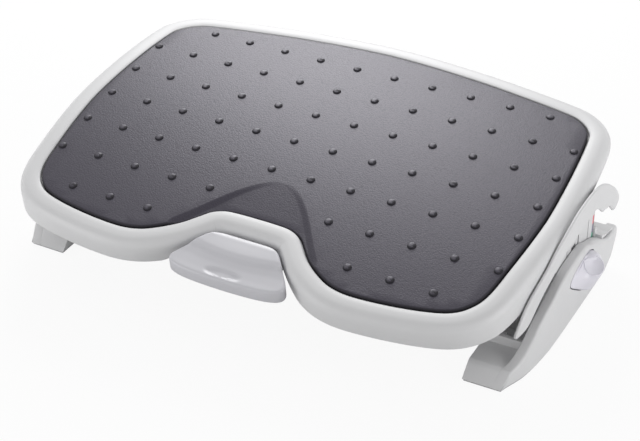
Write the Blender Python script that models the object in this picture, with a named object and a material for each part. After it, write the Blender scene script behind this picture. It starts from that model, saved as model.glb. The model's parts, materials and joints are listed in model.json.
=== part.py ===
"""Ergonomic footrest: a tilting foot platform carried between two height-adjustable stands.

Metres, +X to the right, +Y to the rear, +Z up. The origin is on the floor under the middle of the
footrest. The pieces of the platform are drawn in the platform's own frame, whose origin is the middle
of its top surface, and hang on an empty on the tilt axis. The stands and the cradle that slides in
them are drawn level, in a frame that stands on the floor under the middle of the platform.
"""

import math

import bmesh
import bpy
from mathutils import Matrix, Vector

# Running and seating gaps, and how far a cutter overruns what it cuts
FIT = 0.0003
RUNNING_GAP = 0.0006
OVERRUN = 0.002
WELD = 0.00001
FLAT = math.radians(0.3)

# How the footrest is set: the tilt and the height of the photograph
TILT = math.radians(8.44)
CENTRE_HEIGHT = 0.1135
CENTRE_Y = -0.00804
PIVOT_BEHIND_CENTRE = 0.005
PIVOT_DEPTH = 0.033
HEIGHT_STEP = 0.009525
STEPS_EACH_WAY = 2
HEIGHT_TRAVEL = HEIGHT_STEP * STEPS_EACH_WAY

# Mat: half width, and reach behind the centre; the outline's points are shares of these two
MAT_HALF_WIDTH = 0.232
MAT_REACH = 0.167
NOTCH_SHARE = -0.617
MAT_OUTLINE_SHARES = (
    (0.0, 1.0), (0.345, 0.965), (0.603, 0.910), (0.819, 0.850), (0.888, 0.811), (0.935, 0.749),
    (0.961, 0.659), (0.986, 0.359), (1.0, 0.0), (0.9935, -0.24), (0.974, -0.503), (0.957, -0.671),
    (0.927, -0.772), (0.871, -0.844), (0.776, -0.886), (0.638, -0.916), (0.500, -0.928),
    (0.414, -0.910), (0.345, -0.862), (0.276, -0.790), (0.224, -0.710), (0.190, -0.659),
    (0.138, -0.626), (0.069, -0.618), (0.0, NOTCH_SHARE),
)
OUTLINE_STEPS = 2
MAT_THICKNESS = 0.003
MAT_EDGE_ROUND = 0.0008
MAT_GAP = 0.0006
CROWN_RADIUS = 1.54
CROWN_CUT_PITCH = 0.034
CROWN_STEPS = 8

# The sunk bell at the front of the mat: its half width, its apex and where it is fully sunk
BELL_HALF_WIDTH = 0.072
BELL_APEX = 0.056
BELL_LENGTH = 0.082
BELL_FULL_DEPTH_AT = 0.104
BELL_DEPTH = 0.004
BELL_WALL = 0.002
BELL_SHARES = (
    (0.0, 0.0), (0.15, 0.05), (0.28, 0.14), (0.42, 0.27), (0.56, 0.43), (0.70, 0.61), (0.85, 0.80),
    (1.0, 1.0), (1.02, 1.3),
)

# Raised dots of the mat, wherever they have this margin to the mat's edge and to the bell
DOT_PITCH_X = 0.040
DOT_PITCH_Y = 0.0431
DOT_RADIUS = 0.004
DOT_MARGIN = 0.005
DOT_CROWN_SHARE = 0.5
DOT_HEIGHT = 0.0018
DOT_SINK = 0.0006
DOT_SIDES = 8

# Tray: the rim beyond the mat, its skirt and its deck
RIM_WIDTH = 0.021
PLATFORM_HALF_WIDTH = MAT_HALF_WIDTH + RIM_WIDTH
TRAY_DEPTH = 0.0156
FRONT_SKIRT_DEPTH = 0.0315
SKIRT_FALL_FROM = -0.006
SKIRT_FALL_TO = -0.085
SKIRT_NOTCH_HALF_WIDTH = 0.048
SKIRT_NOTCH_FADE = 0.020
SHOULDER_RADIUS = 0.009
SHOULDER_SEGMENTS = 3
SKIRT_WALL = 0.003
DECK_DEPTH = 0.0065
DECK_BITE = 0.001
RIB_WIDTH = 0.003
RIB_DEPTH = 0.014
RIB_SHARES = (-0.431, 0.371, 0.671)
SPINE_SHARE = 0.539

# How far the stands reach beyond the rim, and their width
STAND_BEYOND_RIM = 0.005
STAND_WIDTH = 0.052
STAND_OUTER = PLATFORM_HALF_WIDTH + STAND_BEYOND_RIM
STAND_INNER = STAND_OUTER - STAND_WIDTH

# Tilt axle, its bushes and the ears of the tray that ride on it
AXLE_RADIUS = 0.006
AXLE_SIDES = 16
AXLE_END_INSET = 0.022
AXLE_HALF_LENGTH = STAND_OUTER - AXLE_END_INSET
INNER_EAR_PLACE = 0.070
OUTER_EAR_GAP = 0.016
EAR_PLACES = (INNER_EAR_PLACE, STAND_INNER - OUTER_EAR_GAP)
EAR_WIDTH = 0.009
EAR_HALF_SPAN = 0.016
EAR_LIP = 0.004
BUSH_WALL = 0.002
BUSH_FLANGE = 0.002
BUSH_FLANGE_WALL = 0.0045
BUSH_OVERHANG = 0.0015

# Brake of the tilt: a drum fixed on the axle, a shoe that is pushed off it, and their housing
DRUM_RADIUS = 0.018
DRUM_WIDTH = 0.012
DRUM_SIDES = 32
DRUM_PIN_RADIUS = 0.002
CHEEK_WIDTH = 0.004
CHEEK_GAP = 0.001
CHEEK_TOP_DEPTH = 0.0415
CHEEK_BOTTOM_DEPTH = 0.0525
SHOE_LENGTH = 0.011
SHOE_TOP_DEPTH = 0.024
LINING_THICKNESS = 0.002
ROD_WIDTH = 0.008
ROD_HEIGHT = 0.005
ROD_REAR = 0.020
ROD_EYE_WALL = 0.0035
ROD_FORK_GAP = 0.0022
HOUSING_WALL = 0.003
HOUSING_SIDE_GAP = 0.0006
HOUSING_FRONT = 0.036
HOUSING_REAR = 0.058
HOUSING_BOTTOM_DEPTH = 0.0535
AXLE_HOLE_GAP = 0.0008
COVER_THICKNESS = 0.0025
COVER_FLANGE = 0.009
SPRING_WIRE = 0.0006
BRAKE_SPRING_RADIUS = 0.0042
BRAKE_SPRING_TURNS = 6
SOCKET_DEPTH = 0.006
SOCKET_GAP = 0.0008

# Pedal: half widths and the side view, in depths below the middle of the platform
PEDAL_HALF_WIDTH = 0.059
PEDAL_REAR_GAP = 0.0045
PEDAL_REAR = RIM_WIDTH + PEDAL_REAR_GAP - NOTCH_SHARE * MAT_REACH
PEDAL_LENGTH = 0.050
PEDAL_PLAN_SHARES = (
    (0.0, 0.0), (0.46, 0.0), (0.56, 0.03), (0.63, 0.12), (0.70, 0.27), (0.80, 0.45), (0.93, 0.62),
    (1.0, 0.76), (0.985, 0.84), (0.88, 0.91), (0.66, 0.965), (0.36, 0.99), (0.0, 1.0),
)
PEDAL_TOP_DEPTH = 0.0075
PEDAL_HEIGHT = 0.0195
PEDAL_SIDE_SHARES = (
    (0.0, 0.06), (0.10, 0.0), (0.34, 0.05), (0.44, 0.17), (0.60, 0.28), (0.86, 0.34), (0.96, 0.42),
    (1.0, 0.56), (0.985, 0.90), (0.93, 1.0), (0.0, 1.0),
)
PEDAL_ROUND = 0.002
PEDAL_DIMPLE_AT_SHARE = 0.72
PEDAL_DIMPLE_HALF_WIDTH = 0.020
PEDAL_DIMPLE_HALF_LENGTH = 0.005
PEDAL_DIMPLE_DEPTH = 0.001
PEDAL_CLEARANCE = 0.0012
PEDAL_PIN_BEHIND = 0.0145
PEDAL_PIN_DEPTH = 0.0315
PEDAL_PIN_RADIUS = 0.003
PEDAL_PIN_SIDES = 12
PEDAL_PRESS = math.radians(10.0)
PEDAL_LUG_PLACE = 0.030
PEDAL_LUG_WIDTH = 0.006
PEDAL_LUG_HALF_HEIGHT = 0.0052
PEDAL_ARM_LENGTH = 0.0155
PEDAL_ARM_WIDTH = 0.005
PEDAL_ARM_HALF_SPAN = 0.0028
PEDAL_PEG_RADIUS = 0.003
PEDAL_EAR_PLACE = 0.0385
PEDAL_EAR_WIDTH = 0.005
PEDAL_EAR_HALF_SPAN = 0.006
PEDAL_SPRING_RADIUS = 0.0045
PEDAL_SPRING_TURNS = 5
PEDAL_SPRING_PLACE = 0.014

# Right stand, seen from above: its plan, as shares of its width outwards and of its length from the front
STAND_FRONT = 0.118
STAND_REAR = 0.121
STAND_LENGTH = STAND_FRONT + STAND_REAR
STAND_PLAN_SHARES = (
    (0.692, 0.0), (0.740, 0.034), (0.885, 0.126), (0.971, 0.259), (1.0, 0.414), (1.0, 0.950),
    (0.981, 0.977), (0.933, 0.994), (0.846, 1.0),
)
SOLE_THICKNESS = 0.002
SOLE_INSET = 0.001

# Side views of the stand's panel and of its inner cover, as shares of the length and the panel's height
PANEL_HEIGHT = 0.064
STAND_PROFILE_SHARES = (
    (0.0, 0.0), (0.006, 0.023), (0.048, 0.188), (0.061, 0.211), (0.1, 0.273), (0.159, 0.437),
    (0.205, 0.594), (0.259, 0.719), (0.314, 0.812), (0.368, 0.906), (0.439, 0.977), (0.536, 1.0),
    (0.619, 0.992), (0.703, 0.938), (0.791, 0.812), (0.862, 0.672), (0.904, 0.617), (0.962, 0.602),
    (0.992, 0.539), (1.0, 0.437), (0.987, 0.312), (0.954, 0.141), (0.912, 0.062), (0.879, 0.0),
)
STAND_COVER_SHARES = (
    (0.19, 0.0), (0.19, 0.336), (0.301, 0.531), (0.385, 0.75), (0.536, 0.80), (0.703, 0.78),
    (0.828, 0.640), (0.904, 0.562), (0.954, 0.547), (0.983, 0.484), (0.99, 0.422), (0.979, 0.297),
    (0.946, 0.148), (0.879, 0.0),
)
PANEL_THICKNESS = 0.010
STAND_FLOOR = 0.003
FOOT_TOP = 0.0155
FOOT_REAR = 0.073
WELL_WALL = 0.003
WELL_REAR = 0.107
HEEL_FROM = 0.090
HEEL_FLOOR = 0.0125
WELL_FRONT_HEIGHT = 0.024
COVER_WALL = 0.003
BOSS_HALF_WIDTH = 0.0045
BOSS_LENGTH = 0.013
BOSS_SHARES = (0.238, 0.364, 0.661, 0.860)
BOSS_HEIGHT = 0.012
SCREW_RADIUS = 0.0015
SCREW_LENGTH = 0.011
SCREW_HEAD_RADIUS = 0.0032
SCREW_HEAD_HEIGHT = 0.0016
SCREW_SLOT = 0.0008
SCREW_SIDES = 10

# Lift bracket: the column that slides in the stand, and the cheek outside the rim of the tray
COLUMN_FRONT = 0.018
COLUMN_REAR = 0.078
COLUMN_THICKNESS = 0.0096
COLUMN_GAP = 0.0004
COLUMN_WIDTH = COLUMN_FRONT + COLUMN_REAR
COLUMN_BOTTOM = 0.0246
COLUMN_TOP_DEPTH = 0.0175
COLUMN_TOP = CENTRE_HEIGHT - COLUMN_TOP_DEPTH
SHOULDER_DROP = 0.010
COLUMN_CHAMFER = 0.004
GUIDE_WIDTH = 0.0055
GUIDE_LIP = 0.0045
GUIDE_DEPTH = 0.016
GUIDE_TOP = 0.054
GROOVE_WIDTH = 0.003
GROOVE_DEPTH = 0.006
GROOVE_SHARE = 0.5625
FINE_GROOVE_WIDTH = 0.0014
FINE_GROOVE_DEPTH = 0.003
FINE_GROOVE_SHARES = (0.271, 0.833)
GROOVE_TOP_MARGIN = 0.0065
AXLE_BOSS_RADIUS = 0.012
AXLE_BOSS_LENGTH = 0.024
AXLE_BOSS_SIDES = 24
SET_SCREW_RADIUS = 0.0025
CHEEK_SKIRT_GAP = 0.0008
CHEEK_PLATE = 0.003
CHEEK_REACH = 0.118
CHEEK_HEIGHT = 0.066
CHEEK_RISE = 0.0025
CHEEK_BOTTOM = CENTRE_HEIGHT + CHEEK_RISE - CHEEK_HEIGHT
CHEEK_SHARES = (
    (-0.907, 0.03), (-0.839, 0.212), (-0.737, 0.386), (-0.61, 0.515), (-0.475, 0.636),
    (-0.364, 0.758), (-0.178, 0.894), (0.0, 0.97), (0.169, 1.0), (0.381, 0.992), (0.551, 0.924),
    (0.695, 0.795), (0.797, 0.667), (0.881, 0.553), (0.949, 0.432), (1.0, 0.311), (1.0, 0.227),
    (0.949, 0.167), (0.898, 0.159), (0.847, 0.235), (0.78, 0.341), (0.703, 0.379), (0.665, 0.402),
    (0.619, 0.417), (0.559, 0.508), (0.492, 0.591), (0.398, 0.636), (0.059, 0.621), (-0.169, 0.598),
    (-0.331, 0.477), (-0.415, 0.402), (-0.5, 0.326), (-0.602, 0.197), (-0.712, 0.038),
    (-0.814, 0.0),
)
CHEEK_STEPS = 10
LEFT_CHEEK_DROP = 0.0155
BRIDGE_FRONT = 0.002
BRIDGE_REAR = 0.070
BRIDGE_THICKNESS = 0.0035

# Latch of the height: a rack on the column, and a toothed block on the stem of the side button
RACK_TEETH = 5
RACK_TOOTH_DEPTH = 0.0025
RACK_TOOTH_HEIGHT = 0.0042
RACK_TOOTH_SHARE = 0.5
RACK_WIDTH = 0.008
STEM_Y = 0.024
STEM_HEIGHT_SHARE = 0.65625
STEM_Z = SOLE_THICKNESS + STEM_HEIGHT_SHARE * PANEL_HEIGHT
STEM_RADIUS = 0.004
STEM_SIDES = 12
STEM_SLOT_GAP = 0.001
LATCH_HALF_HEIGHT = 0.0045
LATCH_BODY = 0.008
LATCH_WIDTH = 0.030
BUTTON_PRESS = 0.004
BUTTON_SPRING_RADIUS = 0.0036
BUTTON_SPRING_TURNS = 6

# Side button: an oval base in the panel that swells to a round dished face for the thumb
BUTTON_BEHIND_STEM = 0.001
BUTTON_BELOW_STEM = 0.0055
BUTTON_HALF_LENGTH = 0.031
BUTTON_HALF_HEIGHT = 0.0185
BUTTON_SHARES = (
    (-1.0, 0.40), (-0.90, 0.62), (-0.68, 0.80), (-0.35, 0.93), (0.03, 0.99), (0.42, 0.95), (0.74, 0.73),
    (0.95, 0.35), (1.0, -0.03), (0.87, -0.46), (0.61, -0.80), (0.29, -0.93), (0.0, -0.82),
    (-0.32, -0.50), (-0.65, -0.12), (-0.87, 0.15),
)
BUTTON_SIDES = 24
BUTTON_GAP = 0.001
BUTTON_BASE_DEPTH = 0.0055
BUTTON_REST_LIP = 0.0006
BUTTON_FACE_OUT = 0.0092
BUTTON_FACE_BEHIND = 0.0045
BUTTON_FACE_ABOVE = 0.006
BUTTON_FACE_NORMAL_SHARES = (0.52, -0.42, 0.74)
BUTTON_FACE_RADIUS = 0.0105
BUTTON_WAIST_RADIUS = 0.0115
BUTTON_WAIST_DEPTH = 0.004
BUTTON_DISH_SHARE = 0.8
BUTTON_DISH_DEPTH = 0.0016

# Height scale: a thin strip let into the rear edge of the column
SCALE_WIDTH = 0.004
SCALE_EDGE = 0.0008
SCALE_THICKNESS = 0.0006
SCALE_POCKET = 0.0009
SCALE_BANDS = 4
SCALE_TOP = 0.0705

PLASTIC_GREY = (0.63, 0.63, 0.64)
PARTS = "ergonomic_footrest"

for scene_object in list(bpy.data.objects):
    bpy.data.objects.remove(scene_object)

parts = bpy.data.collections.new(PARTS)
bpy.context.scene.collection.children.link(parts)


# Shapes

def drawn(name, mesh):
    """An object that holds mesh, at the origin."""
    piece = bpy.data.objects.new(name, mesh)
    parts.objects.link(piece)
    return piece


def from_bmesh(name, shape):
    mesh = bpy.data.meshes.new(name)
    shape.to_mesh(mesh)
    shape.free()
    return drawn(name, mesh)


def freeze(piece):
    """Replaces a curve, or a mesh with modifiers, by the mesh that it evaluates to."""
    bpy.context.view_layer.update()
    graph = bpy.context.evaluated_depsgraph_get()
    mesh = bpy.data.meshes.new_from_object(piece.evaluated_get(graph))
    if piece.type == "MESH":
        piece.modifiers.clear()
        piece.data = mesh
        return piece
    name = piece.name
    curve = piece.data
    bpy.data.objects.remove(piece)
    bpy.data.curves.remove(curve)
    shape = bmesh.new()
    shape.from_mesh(mesh)
    bmesh.ops.remove_doubles(shape, verts=shape.verts, dist=WELD)
    return from_bmesh(name, shape)


def turned(piece, matrix):
    piece.data.transform(matrix)
    return piece


def slab(name, outline, low, high, plane="XY"):
    """A flat outline given its thickness: from low to high along Z, or along X for an outline in YZ."""
    curve = bpy.data.curves.new(name, "CURVE")
    curve.dimensions = "2D"
    curve.fill_mode = "BOTH"
    curve.extrude = (high - low) / 2
    spline = curve.splines.new("POLY")
    spline.points.add(len(outline) - 1)
    for point, (a, b) in zip(spline.points, outline):
        point.co = (a, b, 0, 1)
    spline.use_cyclic_u = True
    piece = freeze(drawn(name, curve))
    turned(piece, Matrix.Translation((0, 0, (low + high) / 2)))
    if plane == "YZ":
        turned(piece, Matrix(((0, 0, 1, 0), (1, 0, 0, 0), (0, 1, 0, 0), (0, 0, 0, 1))))
    return piece


def block(name, low, high):
    shape = bmesh.new()
    bmesh.ops.create_cube(shape, size=1)
    low = Vector(low)
    high = Vector(high)
    span = high - low
    for vert in shape.verts:
        vert.co = Vector([c * s for c, s in zip(vert.co, span)]) + (low + high) / 2
    return from_bmesh(name, shape)


def rod(name, radius, start, end, sides, end_radius=None):
    """A round bar from start to end, or a taper where end_radius is given."""
    start = Vector(start)
    end = Vector(end)
    along = end - start
    shape = bmesh.new()
    bmesh.ops.create_cone(shape, cap_ends=True, segments=sides, radius1=radius,
                          radius2=radius if end_radius is None else end_radius, depth=along.length)
    piece = from_bmesh(name, shape)
    aim = along.to_track_quat("Z", "Y").to_matrix().to_4x4()
    return turned(piece, Matrix.Translation((start + end) / 2) @ aim)


def coil(name, wire, radius, start, end, turns, points_a_turn=8):
    """A helical spring between two points, as one unbroken wire."""
    start = Vector(start)
    end = Vector(end)
    aim = (end - start).to_track_quat("Z", "Y").to_matrix()
    count = turns * points_a_turn + 1
    curve = bpy.data.curves.new(name, "CURVE")
    curve.dimensions = "3D"
    curve.bevel_depth = wire
    curve.bevel_resolution = 1
    curve.use_fill_caps = True
    spline = curve.splines.new("POLY")
    spline.points.add(count - 1)
    for index, point in enumerate(spline.points):
        angle = math.tau * index / points_a_turn
        rise = (end - start).length * index / (count - 1)
        place = start + aim @ Vector((radius * math.cos(angle), radius * math.sin(angle), rise))
        point.co = (*place, 1)
    return freeze(drawn(name, curve))


def closed_up(shape):
    """Closes the edges without length that a cut has left."""
    bmesh.ops.dissolve_degenerate(shape, edges=shape.edges, dist=WELD / 100)


def boolean(target, tool, operation):
    """Joins, cuts or intersects target with tool, and drops the tool."""
    step = target.modifiers.new(operation.lower(), "BOOLEAN")
    step.operation = operation
    step.solver = "EXACT"
    step.object = tool
    freeze(target)
    bpy.data.objects.remove(tool)
    return edit(target, closed_up)


def join(target, *tools):
    for tool in tools:
        boolean(target, tool, "UNION")
    return target


def cut(target, *tools):
    for tool in tools:
        boolean(target, tool, "DIFFERENCE")
    return target


def merged(name, pieces):
    """Several separate solids as one object."""
    shape = bmesh.new()
    for piece in pieces:
        shape.from_mesh(piece.data)
        bpy.data.objects.remove(piece)
    return from_bmesh(name, shape)


def numbered(name, pieces):
    """Names like pieces name_1, name_2 and so on."""
    for index, piece in enumerate(pieces):
        piece.name = name + "_" + str(index + 1)
    return pieces


def edit(piece, change):
    """Runs change on the piece's bmesh."""
    shape = bmesh.new()
    shape.from_mesh(piece.data)
    change(shape)
    shape.to_mesh(piece.data)
    shape.free()
    return piece


def round_top(piece, height, radius, segments):
    """Rounds the outer edge of a slab's upper face."""
    def change(shape):
        bmesh.ops.dissolve_limit(shape, angle_limit=FLAT, verts=shape.verts, edges=shape.edges)
        rim = [e for e in shape.edges
               if all(abs(v.co.z - height) < WELD for v in e.verts)
               and any(abs(f.normal.z) < 1 - WELD for f in e.link_faces)]
        bmesh.ops.bevel(shape, geom=rim, offset=radius, segments=segments, profile=0.5,
                        affect="EDGES", material=-1)
    return edit(piece, change)


def finish(piece, finish_name, colour, roughness, metallic=0.0):
    material = bpy.data.materials.get(finish_name)
    if material is None:
        material = bpy.data.materials.new(finish_name)
        material.use_nodes = True
        shader = material.node_tree.nodes["Principled BSDF"]
        shader.inputs["Base Color"].default_value = (*colour, 1.0)
        shader.inputs["Roughness"].default_value = roughness
        shader.inputs["Metallic"].default_value = metallic
        material.diffuse_color = (*colour, 1.0)
    piece.data.materials.clear()
    piece.data.materials.append(material)
    return piece


def grey(piece):
    return finish(piece, "light_grey_plastic", PLASTIC_GREY, 0.45)


def steel(piece):
    return finish(piece, "steel", (0.55, 0.55, 0.56), 0.3, 1.0)


def smooth_ring(points, steps):
    """A closed smooth curve through the points, with steps pieces between two of them."""
    ring = []
    count = len(points)
    for index in range(count):
        p0, p1, p2, p3 = (Vector(points[(index + k - 1) % count]) for k in range(4))
        for step in range(steps):
            t = step / steps
            ring.append((2 * p1 + t * (p2 - p0) + t * t * (2 * p0 - 5 * p1 + 4 * p2 - p3)
                         + t * t * t * (3 * p1 - p0 - 3 * p2 + p3)) / 2)
    return ring


def grown(ring, distance):
    """The ring moved outwards by distance. The ring runs clockwise, so outwards is to its left."""
    count = len(ring)
    moved = []
    for index, point in enumerate(ring):
        along = (ring[(index + 1) % count] - ring[index - 1]).normalized()
        moved.append(point + Vector((-along.y, along.x)) * distance)
    return moved


def mirrored_ring(half):
    """Both halves of an outline from its right half, which starts and ends on the middle line."""
    return list(half) + [(-x, y) for x, y in reversed(half[1:-1])]


def inside(ring, x, y):
    """Whether the ring goes round a place."""
    crossings = 0
    for index, b in enumerate(ring):
        a = ring[index - 1]
        if (a.y > y) != (b.y > y) and x < a.x + (b.x - a.x) * (y - a.y) / (b.y - a.y):
            crossings += 1
    return crossings % 2 == 1


def crown(y):
    """How far the crowned surface of the platform lies below its middle."""
    return y * y / (2 * CROWN_RADIUS)


def crowned_side(front, rear, low, high):
    """A side view from front to rear whose upper edge follows the crown."""
    ys = [rear + (front - rear) * i / CROWN_STEPS for i in range(CROWN_STEPS + 1)]
    return [(front, low), (rear, low)] + [(y, high - crown(y)) for y in ys]


def skirt_drop(x, y):
    """How much deeper than elsewhere the skirt is under the front lobes."""
    fall = min(max((SKIRT_FALL_FROM - y) / (SKIRT_FALL_FROM - SKIRT_FALL_TO), 0), 1)
    side = min(max((abs(x) - SKIRT_NOTCH_HALF_WIDTH) / SKIRT_NOTCH_FADE, 0), 1)
    return (FRONT_SKIRT_DEPTH - TRAY_DEPTH - crown(y)) * side * fall * fall * (3 - 2 * fall)


def crowned(piece, reach, skirt=False):
    """Cuts the piece across at a steady pitch and lets its points down onto the crown."""
    def change(shape):
        count = int(reach / CROWN_CUT_PITCH)
        for index in range(-count, count + 1):
            bmesh.ops.bisect_plane(shape, geom=shape.verts[:] + shape.edges[:] + shape.faces[:],
                                   dist=WELD, plane_co=(0, index * CROWN_CUT_PITCH, 0),
                                   plane_no=(0, 1, 0))
        bmesh.ops.triangulate(shape, faces=shape.faces, ngon_method="EAR_CLIP")
        for vert in shape.verts:
            if skirt and abs(vert.co.z + TRAY_DEPTH) < WELD:
                vert.co.z -= skirt_drop(vert.co.x, vert.co.y)
            vert.co.z -= crown(vert.co.y)
    return edit(piece, change)


# Outlines of the platform, seen from above, each clockwise from the rear

mat_half = [(x * MAT_HALF_WIDTH, y * MAT_REACH) for x, y in MAT_OUTLINE_SHARES]
mat_ring = smooth_ring(mirrored_ring(mat_half), OUTLINE_STEPS)
tray_ring = grown(mat_ring, RIM_WIDTH)
bell_half = [(x * BELL_HALF_WIDTH, -BELL_APEX - y * BELL_LENGTH) for x, y in BELL_SHARES]
bell_ring = mirrored_ring(bell_half + [(0, bell_half[-1][1])])


def half_width_at(y):
    """Half width of the tray at a place along its depth, read from its outline."""
    right = [p for p in tray_ring if p.x > MAT_HALF_WIDTH / 2]
    for a, b in zip(right, right[1:]):
        if b.y <= y <= a.y:
            return a.x + (b.x - a.x) * (a.y - y) / (a.y - b.y)
    return right[0].x if y > 0 else right[-1].x


def bell(name, spread, top, floor):
    """The bell's outline as a solid whose floor falls from floor to BELL_DEPTH below it."""
    ring = [Vector(p) for p in bell_ring]
    if spread:
        ring = grown(ring, spread)
    piece = slab(name, ring, floor, top)

    def change(shape):
        bmesh.ops.bisect_plane(shape, geom=shape.verts[:] + shape.edges[:] + shape.faces[:],
                               dist=WELD, plane_co=(0, -BELL_FULL_DEPTH_AT, 0), plane_no=(0, 1, 0))
        bmesh.ops.triangulate(shape, faces=shape.faces, ngon_method="EAR_CLIP")
        for vert in shape.verts:
            if abs(vert.co.z - floor) < WELD:
                fall = (-BELL_APEX - vert.co.y) / (BELL_FULL_DEPTH_AT - BELL_APEX)
                vert.co.z -= BELL_DEPTH * min(max(fall, 0), 1)
    return edit(piece, change)


# Platform

def bell_within(name, spread, ring_spread, top, floor):
    """The bell's solid, kept inside the mat's outline."""
    piece = bell(name, spread, top, floor)
    ring = grown(mat_ring, ring_spread)
    limit = slab(name + "_limit", ring, floor - BELL_DEPTH - OVERRUN, top + OVERRUN)
    return boolean(piece, limit, "INTERSECT")


def make_tray():
    tray = slab("tray", tray_ring, -TRAY_DEPTH, 0)
    round_top(tray, 0, SHOULDER_RADIUS, SHOULDER_SEGMENTS)
    recess_depth = MAT_THICKNESS + FIT
    cut(tray, slab("recess", grown(mat_ring, MAT_GAP), -recess_depth, OVERRUN))
    under = slab("under", grown(tray_ring, -SKIRT_WALL), -TRAY_DEPTH - OVERRUN, -DECK_DEPTH)
    pan_wall = BELL_WALL + MAT_GAP + DECK_DEPTH - recess_depth
    cut(under, bell("pan", pan_wall, OVERRUN, -DECK_DEPTH - FIT))
    cut(tray, under)
    cut(tray, bell_within("sunk", BELL_WALL + MAT_GAP, MAT_GAP - FIT, -recess_depth / 2,
                          -recess_depth - FIT))
    crowned(tray, MAT_REACH + RIM_WIDTH, skirt=True)
    root = -DECK_DEPTH + DECK_BITE
    ribs = [share * MAT_REACH for share in RIB_SHARES]
    rib_end = EAR_PLACES[-1] + EAR_WIDTH
    for y in ribs:
        join(tray, block("rib", (-rib_end, y - RIB_WIDTH / 2, -RIB_DEPTH - crown(y)),
                         (rib_end, y + RIB_WIDTH / 2, root - crown(y))))
    for x in (-SPINE_SHARE * MAT_HALF_WIDTH, SPINE_SHARE * MAT_HALF_WIDTH):
        join(tray, slab("spine", crowned_side(ribs[0], ribs[-1], -RIB_DEPTH, root),
                        x - RIB_WIDTH / 2, x + RIB_WIDTH / 2, "YZ"))
    ear_bottom = -PIVOT_DEPTH - AXLE_RADIUS - BUSH_WALL - EAR_LIP
    pin_y = pedal_pin_y()
    for side in (-1, 1):
        for place in EAR_PLACES:
            x = side * place
            join(tray, block("ear",
                             (x - EAR_WIDTH / 2, PIVOT_BEHIND_CENTRE - EAR_HALF_SPAN, ear_bottom),
                             (x + EAR_WIDTH / 2, PIVOT_BEHIND_CENTRE + EAR_HALF_SPAN, root)))
        x = side * PEDAL_EAR_PLACE
        join(tray, block("pedal_ear",
                         (x - PEDAL_EAR_WIDTH / 2, pin_y - PEDAL_EAR_HALF_SPAN,
                          -PEDAL_PIN_DEPTH - PEDAL_EAR_HALF_SPAN),
                         (x + PEDAL_EAR_WIDTH / 2, pin_y + PEDAL_EAR_HALF_SPAN,
                          root - crown(pin_y))))
    bore = AXLE_RADIUS + RUNNING_GAP / 2 + BUSH_WALL + FIT
    cut(tray, rod("axle_bore", bore, (-AXLE_HALF_LENGTH, PIVOT_BEHIND_CENTRE, -PIVOT_DEPTH),
                  (AXLE_HALF_LENGTH, PIVOT_BEHIND_CENTRE, -PIVOT_DEPTH), AXLE_SIDES))
    pin_reach = PEDAL_EAR_PLACE + PEDAL_EAR_WIDTH
    cut(tray, rod("pin_bore", PEDAL_PIN_RADIUS + FIT, (-pin_reach, pin_y, -PEDAL_PIN_DEPTH),
                  (pin_reach, pin_y, -PEDAL_PIN_DEPTH), PEDAL_PIN_SIDES))
    return grey(tray)


def dot_places():
    """The dots' grid, which has no dot in the middle of a row, within the mat and round the bell."""
    edge = grown(mat_ring, -DOT_MARGIN)
    hollow = grown([Vector(p) for p in bell_ring], DOT_MARGIN)
    columns = int(MAT_HALF_WIDTH / DOT_PITCH_X) + 1
    rows = int(MAT_REACH / DOT_PITCH_Y) + 1
    grid = [((column + 0.5) * DOT_PITCH_X, row * DOT_PITCH_Y)
            for row in range(-rows, rows + 1) for column in range(-columns, columns)]
    return [(x, y) for x, y in grid if inside(edge, x, y) and not inside(hollow, x, y)]


def make_mat():
    mat = slab("mat", mat_ring, -MAT_THICKNESS, 0)
    round_top(mat, 0, MAT_EDGE_ROUND, 1)
    join(mat, bell_within("lower", BELL_WALL, -FIT, -MAT_THICKNESS / 2, -MAT_THICKNESS - FIT))
    cut(mat, bell("sunk", 0, OVERRUN, -FIT))
    dots = [rod("dot", DOT_RADIUS, (x, y, -DOT_SINK), (x, y, DOT_HEIGHT), DOT_SIDES,
                DOT_RADIUS * DOT_CROWN_SHARE) for x, y in dot_places()]
    join(mat, merged("dots", dots))
    crowned(mat, MAT_REACH)
    return finish(mat, "dark_mat", (0.12, 0.115, 0.13), 0.6)


def make_bushes():
    """Plain bushes between the axle and the ears, each with a flange on the side of the middle."""
    bushes = []
    for side in (-1, 1):
        for place in EAR_PLACES:
            inner = side * (place - EAR_WIDTH / 2 - FIT - BUSH_FLANGE)
            face = side * (place - EAR_WIDTH / 2 - FIT)
            outer = side * (place + EAR_WIDTH / 2 + BUSH_OVERHANG)
            at = (PIVOT_BEHIND_CENTRE, -PIVOT_DEPTH)
            bore = AXLE_RADIUS + RUNNING_GAP / 2
            bush = rod("bush", bore + BUSH_WALL, (inner, *at), (outer, *at), AXLE_SIDES)
            join(bush, rod("flange", bore + BUSH_FLANGE_WALL, (inner, *at), (face, *at), AXLE_SIDES))
            over = side * OVERRUN
            cut(bush, rod("hole", bore, (inner - over, *at), (outer + over, *at), AXLE_SIDES))
            bushes.append(finish(bush, "bush_nylon", (0.75, 0.74, 0.7), 0.5))
    return numbered("pivot_bush", bushes)


def half_cage():
    """Half width inside the brake housing: the drum, a cheek and their gaps."""
    return DRUM_WIDTH / 2 + CHEEK_GAP + CHEEK_WIDTH + HOUSING_SIDE_GAP


def housing_top():
    return -DECK_DEPTH - crown(HOUSING_REAR) - FIT


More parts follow.
